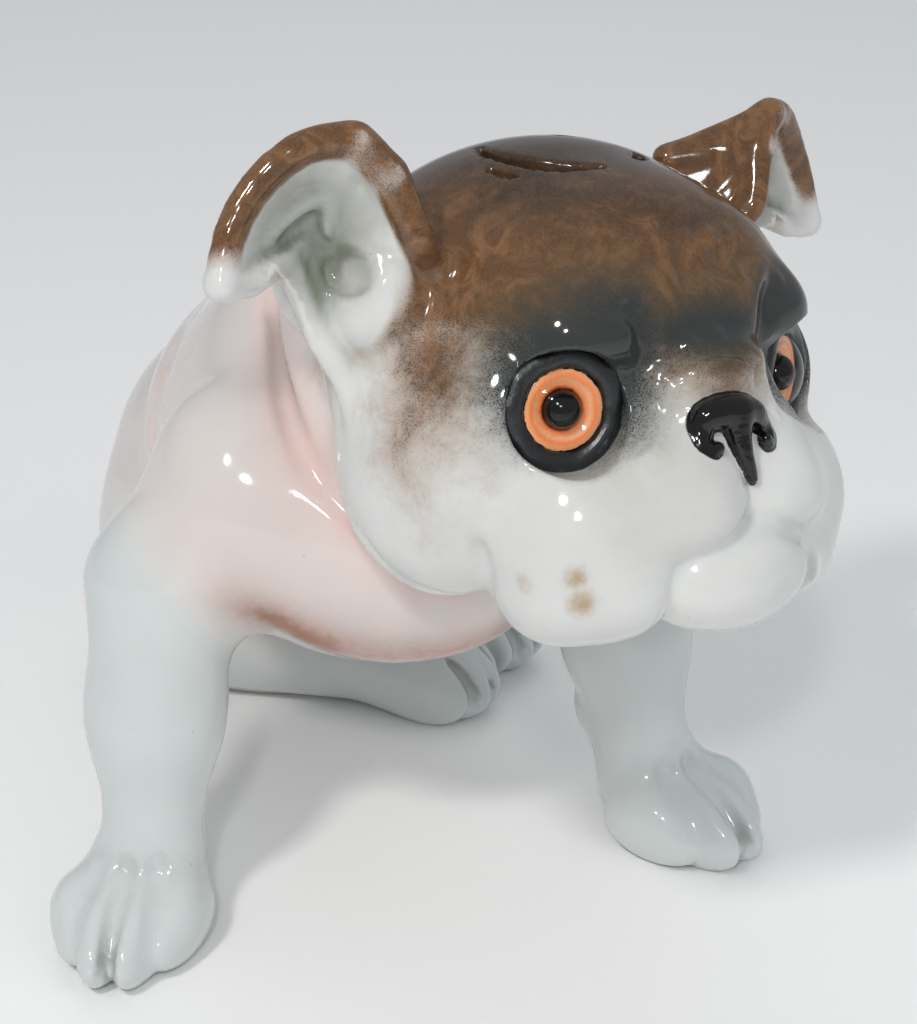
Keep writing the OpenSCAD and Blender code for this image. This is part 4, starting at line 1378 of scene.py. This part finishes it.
class BULLDOG_OT_eyes(bpy.types.Operator):
    """Make both glass eyes and the putty that holds them"""

    bl_idname = "bulldog.eyes"
    bl_label = "Glass eyes"

    def execute(self, context):
        sets = context.scene.bulldog_glazes
        enamel, bed, black = eye_enamel(sets), putty(sets), glossy_black()
        dome_glass = clear_glass("eye_dome_glass", (0.98, 0.99, 0.98))
        for side, word in ((-1, "right"), (1, "left")):
            at, axes = eye_frame(side)

            def hand_pressed(t, r, h, side=side):
                wave = (0.5 * math.sin(3 * t + side) + 0.32 * math.sin(7 * t + 2.1 * side)
                        + 0.2 * math.sin(13 * t))
                outer = (r - 7.1) / 3.1
                return (r + wave * (0.36 * outer + 0.2),
                        h + (0.16 * math.sin(5 * t + side) + 0.1 * wave) * (h > -1))
            crown = [(8.7 + 1.75 * math.cos(u), -0.45 + 1.25 * math.sin(u))
                     for u in np.linspace(0, math.pi, 15)]
            ring = [(7.15, -3.0), (10.15, -3.0), (10.4, -1.2)] + crown + [(6.95, -1.6)]
            me, _ = turned("eye_putty_" + word, ring, axes, at, 96, closed=True, shape=hand_pressed)
            new_piece(f"eye_putty_ring_{word}", me, bed, FIGURE, "black_putty", "eye_putty_" + word)
            disc = [(3.2, -3.0), (7.1, -3.0), (7.1, -0.6), (6.7, -0.3), (6.0, -0.25), (5.3, -0.45),
                    (4.7, -0.85), (4.1, -1.1), (3.6, -1.1), (3.2, -1.5)]
            me, local = turned("eye_iris_" + word, disc, axes, at, 96, closed=True)
            layer = me.attributes.new("ring", "FLOAT", "POINT")
            layer.data.foreach_set("value", (np.hypot(local[:, 0], local[:, 1]) / IRIS_R).astype(np.float32))
            new_piece(f"eye_iris_disc_{word}", me, enamel, FIGURE, "orange_enamel", "eye_iris_" + word)
            bead = [(0, -3.0), (3.2, -3.0), (PUPIL_R, -2.8)] + arc((0, -1.6), PUPIL_R, 0, 90, 14)
            me, _ = turned("eye_pupil_" + word, bead, axes, at, 64)
            new_piece(f"eye_pupil_bead_{word}", me, black, FIGURE, "black_glass", "eye_pupil_" + word)
            r_dome = (IRIS_R ** 2 + DOME_H ** 2) / (2 * DOME_H)
            rim = math.degrees(math.asin((r_dome - DOME_H) / r_dome))
            dome = arc((0, 3.2 - r_dome), r_dome, 90, rim, 20) + [(6.9, -0.2), (3.4, -0.2)]
            dome += arc((0, -1.6), 3.55, 24, 90, 10)
            me, _ = turned("eye_glass_" + word, dome, axes, at, 96)
            new_piece(f"eye_glass_dome_{word}", me, dome_glass, FIGURE, "clear_glass", "eye_glass_" + word)
        return {"FINISHED"}


class BULLDOG_OT_bush(bpy.types.Operator):
    """Make the rubber bush of the cable entry"""

    bl_idname = "bulldog.bush"
    bl_label = "Cable bush"

    def execute(self, context):
        rubber = rubber_finish(context.scene.bulldog_glazes)
        axes = np.array(Matrix.Rotation(-math.pi / 2, 3, "X"))
        lip = arc((6.5, 0.9), 0.5, 0, 90, 5) + arc((3.7, 0.9), 0.5, 90, 180, 5)
        profile = [(3.2, -4.5), (4.9, -4.5), (5.0, -4.2), (5.0, 0), (6.9, 0), (7.0, 0.2)] + lip
        me, _ = turned("cable_bush", profile, axes, LAMP + (0, BUSH_FACE, BUSH_Z), 64, closed=True)
        sharpen(me)
        new_piece("cable_bush_moulded", me, rubber, FIGURE, "black_rubber", "cable_bush")
        return {"FINISHED"}


def strip(name, path, width, thick):
    """A strip of sheet metal bent along a path of (out, up) points, width across."""
    line = smooth_path([(x, 0, z) for x, z in path], 5)[:, [0, 2]]
    along_line = np.gradient(line, axis=0)
    along_line /= np.hypot(*along_line.T)[:, None]
    offset = np.column_stack([-along_line[:, 1], along_line[:, 0]]) * thick
    bm = bmesh.new()
    rows = []
    for (x, z), (dx, dz) in zip(line, offset):
        rows.append([bm.verts.new(v) for v in ((x, -width / 2, z), (x, width / 2, z),
                                               (x + dx, width / 2, z + dz), (x + dx, -width / 2, z + dz))])
    for a, b in zip(rows, rows[1:]):
        for i in range(4):
            bm.faces.new((a[i], a[(i + 1) % 4], b[(i + 1) % 4], b[i]))
    bm.faces.new(rows[0])
    bm.faces.new(rows[-1])
    bmesh.ops.recalc_face_normals(bm, faces=bm.faces[:])
    bmesh.ops.bevel(bm, geom=[e for e in bm.edges if e.calc_face_angle(0) > 1.0], offset=thick * 0.2,
                    segments=2, affect="EDGES")
    bmesh.ops.scale(bm, verts=bm.verts, vec=(MM, MM, MM))
    me = bpy.data.meshes.new(name)
    bm.to_mesh(me)
    bm.free()
    for poly in me.polygons:
        poly.use_smooth = True
    sharpen(me)
    return me


def local_turned(name, profile, steps=48, closed=False, shape=None):
    """A turned seed piece in metres about the origin, for a pattern to copy."""
    me, local = turned(name, profile, np.eye(3), (0, 0, 0), steps, closed, shape)
    me.vertices.foreach_set("co", (local * MM).astype(np.float32).ravel())
    me.update()
    sharpen(me)
    return me


THREAD_PITCH = 2.82
PLATE_TOP = 3.2
RIVET_X = 19.6
SPRING_X = 23.1
BRACKET_HOLE_X = 16.0


class BULLDOG_OT_lamp_metal(bpy.types.Operator):
    """Make the springs, rivets and screws, and finish the plate and bracket"""

    bl_idname = "bulldog.lamp_metal"
    bl_label = "Lamp plate and its fastenings"

    def execute(self, context):
        sets = context.scene.bulldog_glazes
        thick = context.scene.bulldog_sizes.spring_thickness / MM
        brass = metal_finish("sheet_brass", sets.brass, (0.30, 0.17, 0.07), 0.30, (1, 6, 6))
        steel = metal_finish("spring_steel", sets.steel, (0.20, 0.14, 0.10), 0.34, (6, 6, 1))
        axis = tuple(to_row([LAMP])[0])
        ring = ring_pattern()
        leaf = [(RIVET_X - 2.3, PLATE_TOP), (RIVET_X + 1.5, PLATE_TOP), (SPRING_X - 0.9, PLATE_TOP + 0.2),
                (SPRING_X - 0.5, PLATE_TOP + 1.6), (SPRING_X + 0.1, PLATE_TOP + 4.5), (SPRING_X + 0.95, 12.2),
                (SPRING_X + 0.5, 15.0), (SPRING_X - 1.2, 18.8)]
        me = grown("springs", strip("leaf", leaf, 5.8, thick), ring, steel, Count=3, Start_Angle=-math.pi / 2,
                   Axis=axis)
        new_piece("leaf_springs", me, steel, LAMP_UNIT, "spring_steel", "plate_springs")
        head = arc((0, PLATE_TOP + thick), 2.0, 0, 90, 6)
        head = [(r, PLATE_TOP + thick + (z - PLATE_TOP - thick) * 0.4) for r, z in head]
        foot = [(r, 2.2 - (z - PLATE_TOP - thick)) for r, z in reversed(head)]
        rivet = local_turned("rivet", foot + [(1.2, 2.2), (1.2, PLATE_TOP + thick)] + head, 24)
        rivet.transform(Matrix.Translation((RIVET_X * MM, 0, 0)))
        me = grown("rivets", rivet, ring, brass, Count=3, Start_Angle=-math.pi / 2, Axis=axis)
        new_piece("brass_rivets", me, brass, LAMP_UNIT, "sheet_brass", "plate_rivets")
        screw = self.screw()
        me = grown("screws", screw, ring, steel, Count=2, Start_Angle=0.0, Axis=axis)
        new_piece("slotted_screws", me, steel, LAMP_UNIT, "spring_steel", "bracket_screws")
        for node, finish in (("base_plate", brass), ("holder_bracket", steel)):
            paint_node(node, finish)
        return {"FINISHED"}

    def screw(self):
        """A cheese-head screw with a slot and a rolled thread below."""
        top, under = PLATE_TOP + 1.2, 1.2

        def slotted(t, r, h):
            across = abs(r * math.sin(t))
            return r, h - (0.8 if h > top + 1.3 and across < 0.42 else 0.0)
        head = [(2.7, top), (2.7, top + 1.2), (2.5, top + 1.55)]
        face = [(r, top + 1.8 - 0.1 * (r / 2.5) ** 2) for r in (2.3, 1.8, 1.3, 0.8, 0.4, 0)]
        thread = [(1.25 if i % 2 else 1.5, under + 0.25 * i) for i in range(12)]
        me = local_turned("screw", [(0, under - 0.2), (1.1, under - 0.2)] + thread + head + face, 48,
                          shape=slotted)
        me.transform(Matrix.Translation((BRACKET_HOLE_X * MM, 0, 0)))
        return me


def paint_node(node, material):
    """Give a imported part, whose shape is right as it is, its finish."""
    me = frame["nodes"][node].data
    me.materials.clear()
    me.materials.append(material)


class BULLDOG_OT_lampholder(bpy.types.Operator):
    """Make the lampholder, its threaded sleeve and its centre contact"""

    bl_idname = "bulldog.lampholder"
    bl_label = "Lampholder"

    def execute(self, context):
        sets = context.scene.bulldog_glazes
        brass = metal_finish("thread_brass", sets.brass, (0.34, 0.20, 0.08), 0.26, (1, 1, 5))
        steatite = holder_finish()
        low, high = 7.2, 33.2
        outer = [(0, low), (9.9, low)] + arc((9.9, low + 0.5), 0.5, -90, 0, 4) + [(10.4, 16.0)]
        outer += [(10.7, 16.9), (12.4, 19.2), (12.8, 19.9), (13.0, 20.6)]
        for z in (23.0, 25.0, 27.0):
            outer += [(13.0, z), (12.6, z + 0.4), (13.0, z + 0.8)]
        outer += arc((12.3, high - 0.7), 0.7, 0, 90, 5) + arc((8.6, high - 0.6), 0.6, 90, 180, 5)
        inner = [(7.85, high - 1.6), (7.8, low + 2.5), (0, low + 2.4)]
        me, _ = turned("lampholder", outer + inner, np.eye(3), LAMP, 72)
        sharpen(me, 40)
        new_piece("steatite_lampholder", me, steatite, LAMP_UNIT, "holder_ceramic", "lampholder_body")
        top, bottom = high - 1.2, low + 4.5
        rows = 44
        sleeve = [(7.68, bottom + (top - bottom) * i / rows) for i in range(rows + 1)]
        sleeve += [(7.32, z) for _, z in reversed(sleeve)]

        def rolled(t, r, h):
            if h < bottom + 1 or h > top - 1:
                return r, h
            return r + 0.12 * math.sin(2 * math.pi * (h / THREAD_PITCH) - t), h
        me, _ = turned("sleeve", sleeve, np.eye(3), LAMP, 64, closed=True, shape=rolled)
        new_piece("threaded_sleeve", me, brass, LAMP_UNIT, "sheet_brass", "lampholder_thread")
        contact = [(0, 9.65), (2.4, 9.65), (2.5, 9.8), (2.5, 14.4)] + arc((2.1, 14.6), 0.4, 0, 60, 3)
        contact += [(1.4, 15.5), (0.7, 15.85), (0, 15.95)]
        me, _ = turned("contact", contact, np.eye(3), LAMP, 40)
        sharpen(me)
        new_piece("sprung_contact", me, brass, LAMP_UNIT, "sheet_brass", "centre_contact")
        return {"FINISHED"}


CAP_Z, CAP_TOP, GLASS_TOP = 16.2, 34.2, 64.2
BULB_R = 11.0


class BULLDOG_OT_bulb(bpy.types.Operator):
    """Make the bulb: screw cap, glass, stem and filament"""

    bl_idname = "bulldog.bulb"
    bl_label = "Bulb"

    def execute(self, context):
        sets = context.scene.bulldog_glazes
        nickel = metal_finish("nickel_plate", sets.nickel, (0.36, 0.30, 0.22), 0.2, (1, 1, 5), 0.35)
        glass = clear_glass("bulb_glass_clear", (0.985, 0.985, 0.965))
        wire = metal_finish("filament_wire", (0.42, 0.42, 0.43), (0.14, 0.14, 0.16), 0.4)
        rows = 40
        low, high = CAP_Z + 3.2, CAP_TOP - 1.6
        cap = [(0, CAP_Z), (2.1, CAP_Z), (2.6, CAP_Z + 0.5), (3.0, CAP_Z + 1.2), (5.2, CAP_Z + 2.7),
               (6.2, CAP_Z + 3.0)]
        cap += [(6.5, low + (high - low) * i / rows) for i in range(rows + 1)]
        cap += [(6.15, CAP_TOP - 1.0), (6.15, CAP_TOP - 0.1), (5.9, CAP_TOP), (0, CAP_TOP)]

        def rolled(t, r, h):
            fade = min(1.0, max(0.0, min(h - low, high - h) / 0.8))
            return r + 0.34 * fade * math.sin(2 * math.pi * (h / THREAD_PITCH) - t), h
        me, _ = turned("cap", cap, np.eye(3), LAMP, 64, shape=rolled)
        sharpen(me, 50)
        new_piece("rolled_cap", me, nickel, BULB, "nickel_plate", "bulb_cap")
        crown = (0.0, GLASS_TOP - BULB_R)
        outer = smooth_path([(5.85, CAP_TOP, 0), (5.9, CAP_TOP + 2.4, 0), (7.2, CAP_TOP + 6.4, 0),
                             (9.6, CAP_TOP + 10.4, 0), (10.85, CAP_TOP + 14.4, 0),
                             (BULB_R, crown[1], 0)], 5)[:, :2]
        outer = [tuple(v) for v in outer] + arc(crown, BULB_R, 0, 90, 18)[1:]
        inner = [(max(r - 0.7, 0), z - 0.7 * max(0.0, (z - crown[1]) / BULB_R)) for r, z in reversed(outer)]
        me, _ = turned("glass", outer + inner[:-1] + [(5.15, CAP_TOP)], np.eye(3), LAMP, 72, closed=False)
        new_piece("blown_bulb", close_rim(me), glass, BULB, "bulb_clear", "bulb_glass")
        stem = [(0, CAP_TOP + 0.9), (2.9, CAP_TOP + 0.9), (2.8, CAP_TOP + 2.6), (1.7, CAP_TOP + 5.5),
                (1.3, CAP_TOP + 9), (1.6, CAP_TOP + 10.2), (1.2, CAP_TOP + 11.2), (0, CAP_TOP + 11.5)]
        me, _ = turned("stem", stem, np.eye(3), LAMP, 32)
        new_piece("glass_stem", me, clear_glass("stem_glass", (0.93, 0.97, 0.95), 0.08), BULB, "bulb_clear",
                  "bulb_stem")
        seed = bpy.data.meshes.new("seed")
        coil_at = to_row([LAMP + (-4.5, 0, CAP_TOP + 18.6)])[0]
        me = grown("filament", seed, coil_pattern(), wire,
                   Turns=float(context.scene.bulldog_sizes.filament_turns),
                   Coil_Radius=0.4 * MM, Length=9 * MM, Wire_Radius=0.09 * MM, Axis=tuple(coil_at))
        new_piece("coiled_filament", me, wire, BULB, "filament_wire")
        for side, word in ((-1, "right"), (1, "left")):
            path = [(side * 1.1, 0, CAP_TOP + 9.6), (side * 2.2, 0, CAP_TOP + 12.5),
                    (side * 4.3, 0, CAP_TOP + 16), (side * 4.6, 0, CAP_TOP + 18.6)]
            me = tube("post_" + word, smooth_path(path, 5), 0.22)
            new_piece("filament_post_" + word, me, wire, BULB, "filament_wire")
        return {"FINISHED"}


def close_rim(me):
    """Join a shell's inner and outer rims, and turn its faces outwards."""
    bm = bmesh.new()
    bm.from_mesh(me)
    bmesh.ops.remove_doubles(bm, verts=bm.verts, dist=1e-6)
    rim = [e for e in bm.edges if len(e.link_faces) == 1]
    if rim:
        bmesh.ops.bridge_loops(bm, edges=rim)
    bmesh.ops.recalc_face_normals(bm, faces=bm.faces[:])
    bm.to_mesh(me)
    bm.free()
    for poly in me.polygons:
        poly.use_smooth = True
    return me


def tube(name, line, r, sides=8):
    """A round wire along a line of layout points about the lamp axis."""
    bm = bmesh.new()
    rows = []
    run = np.gradient(line, axis=0)
    for p, d in zip(line, run):
        d = Vector(d).normalized()
        side = d.orthogonal().normalized() if not rows else (last - last.dot(d) * d).normalized()
        last = side
        up = d.cross(side)
        rows.append([bm.verts.new(Vector(p) + r * (math.cos(t) * side + math.sin(t) * up))
                     for t in (2 * math.pi * i / sides for i in range(sides))])
    for a, b in zip(rows, rows[1:]):
        for i in range(sides):
            bm.faces.new((a[i], a[(i + 1) % sides], b[(i + 1) % sides], b[i]))
    bm.faces.new(rows[0])
    bm.faces.new(rows[-1])
    bmesh.ops.recalc_face_normals(bm, faces=bm.faces[:])
    me = bpy.data.meshes.new(name)
    bm.to_mesh(me)
    bm.free()
    local = np.array([v.co for v in me.vertices])
    me.vertices.foreach_set("co", to_row(local, None, LAMP).astype(np.float32).ravel())
    for poly in me.polygons:
        poly.use_smooth = True
    me.update()
    return me


CAMERA_TARGET = (4, -40, 82)
CAMERA_ANGLES = (-16, 26)      # azimuth and height
SENSOR_MM = 36
LENS_RATIO = 2226 / 1024       # focal length over sensor width


class BULLDOG_OT_stage(bpy.types.Operator):
    """Set out the pale sweep, the studio lights and the camera"""

    bl_idname = "bulldog.stage"
    bl_label = "Stage, lights and camera"

    def execute(self, context):
        scene = context.scene
        bm = bmesh.new()
        bmesh.ops.create_circle(bm, cap_ends=True, segments=64, radius=7.0)
        me = bpy.data.meshes.new("sweep")
        bm.to_mesh(me)
        bm.free()
        me.materials.append(paper_floor(scene.bulldog_glazes))
        floor = bpy.data.objects.new("sweep", me)
        scene.collection.objects.link(floor)
        target = Vector(to_row([CAMERA_TARGET])[0])
        self.light("key", target, -46, 50, 1.1, 0.16, 4.0, (1.0, 0.985, 0.96))
        self.light("flash", target, -20, 38, 0.8, 0.07, 1.2, (1.0, 1.0, 1.0))
        for name, azimuth, height, power in (("fill", 40, 34, 3.6), ("back", 165, 60, 5.0)):
            self.light(name, target, azimuth, height, 1.6, 1.6, power,
                       (0.97, 0.985, 1.0)).visible_glossy = False
        world = bpy.data.worlds.new("studio_air")
        world.use_nodes = True
        air = world.node_tree.nodes["Background"]
        air.inputs["Color"].default_value = (0.92, 0.95, 1.0, 1)
        air.inputs["Strength"].default_value = 0.36
        scene.world = world
        lens = bpy.data.cameras.new("camera")
        lens.sensor_width = SENSOR_MM
        lens.lens = SENSOR_MM * LENS_RATIO
        camera = bpy.data.objects.new("camera", lens)
        scene.collection.objects.link(camera)
        aim(camera, target, *CAMERA_ANGLES, scene.bulldog_sizes.camera_distance)
        scene.camera = camera
        scene.view_settings.view_transform = "Standard"
        return {"FINISHED"}

    def light(self, name, target, azimuth, elevation, distance, size, power, colour):
        """A round soft light of a width in metres and a power in watts, aimed at the target."""
        lamp = bpy.data.lights.new(name, "AREA")
        lamp.shape = "DISK"
        lamp.size = size
        lamp.energy = power
        lamp.color = colour
        obj = bpy.data.objects.new(name, lamp)
        bpy.context.scene.collection.objects.link(obj)
        aim(obj, target, azimuth, elevation, distance)
        return obj


def aim(obj, target, azimuth, elevation, distance):
    """Put an object at an angle round the target, facing it. Azimuth 0 is in front of the dog."""
    a, e = math.radians(azimuth), math.radians(elevation)
    out = Vector((math.sin(a) * math.cos(e), -math.cos(a) * math.cos(e), math.sin(e)))
    obj.location = target + out * distance
    obj.rotation_euler = (-out).to_track_quat("-Z", "Y").to_euler()


class BULLDOG_PT_panel(bpy.types.Panel):
    """Bulldog night light"""

    bl_label = "Bulldog night light"
    bl_space_type = "VIEW_3D"
    bl_region_type = "UI"
    bl_category = "Bulldog"

    def draw(self, context):
        for group in (context.scene.bulldog_sizes, context.scene.bulldog_glazes):
            box = self.layout.box()
            for key in group.bl_rna.properties.keys():
                if key not in ("rna_type", "name"):
                    box.prop(group, key)
        for maker in MAKERS:
            self.layout.operator(maker.bl_idname)


MAKERS = (BULLDOG_OT_stage, BULLDOG_OT_porcelain, BULLDOG_OT_eyes, BULLDOG_OT_bush, BULLDOG_OT_lamp_metal,
          BULLDOG_OT_lampholder, BULLDOG_OT_bulb)
CLASSES = (BulldogGlazes, BulldogSizes, *MAKERS, BULLDOG_PT_panel)


def register():
    for kind in CLASSES:
        bpy.utils.register_class(kind)
    bpy.types.Scene.bulldog_glazes = bpy.props.PointerProperty(type=BulldogGlazes)
    bpy.types.Scene.bulldog_sizes = bpy.props.PointerProperty(type=BulldogSizes)


def unregister():
    del bpy.types.Scene.bulldog_sizes
    del bpy.types.Scene.bulldog_glazes
    for kind in reversed(CLASSES):
        bpy.utils.unregister_class(kind)


def main():
    register()
    bpy.ops.bulldog.stage()
    bpy.ops.bulldog.porcelain()
    bpy.ops.bulldog.eyes()
    bpy.ops.bulldog.bush()
    bpy.ops.bulldog.lamp_metal()
    bpy.ops.bulldog.lampholder()
    bpy.ops.bulldog.bulb()


if __name__ == "__main__":
    main()
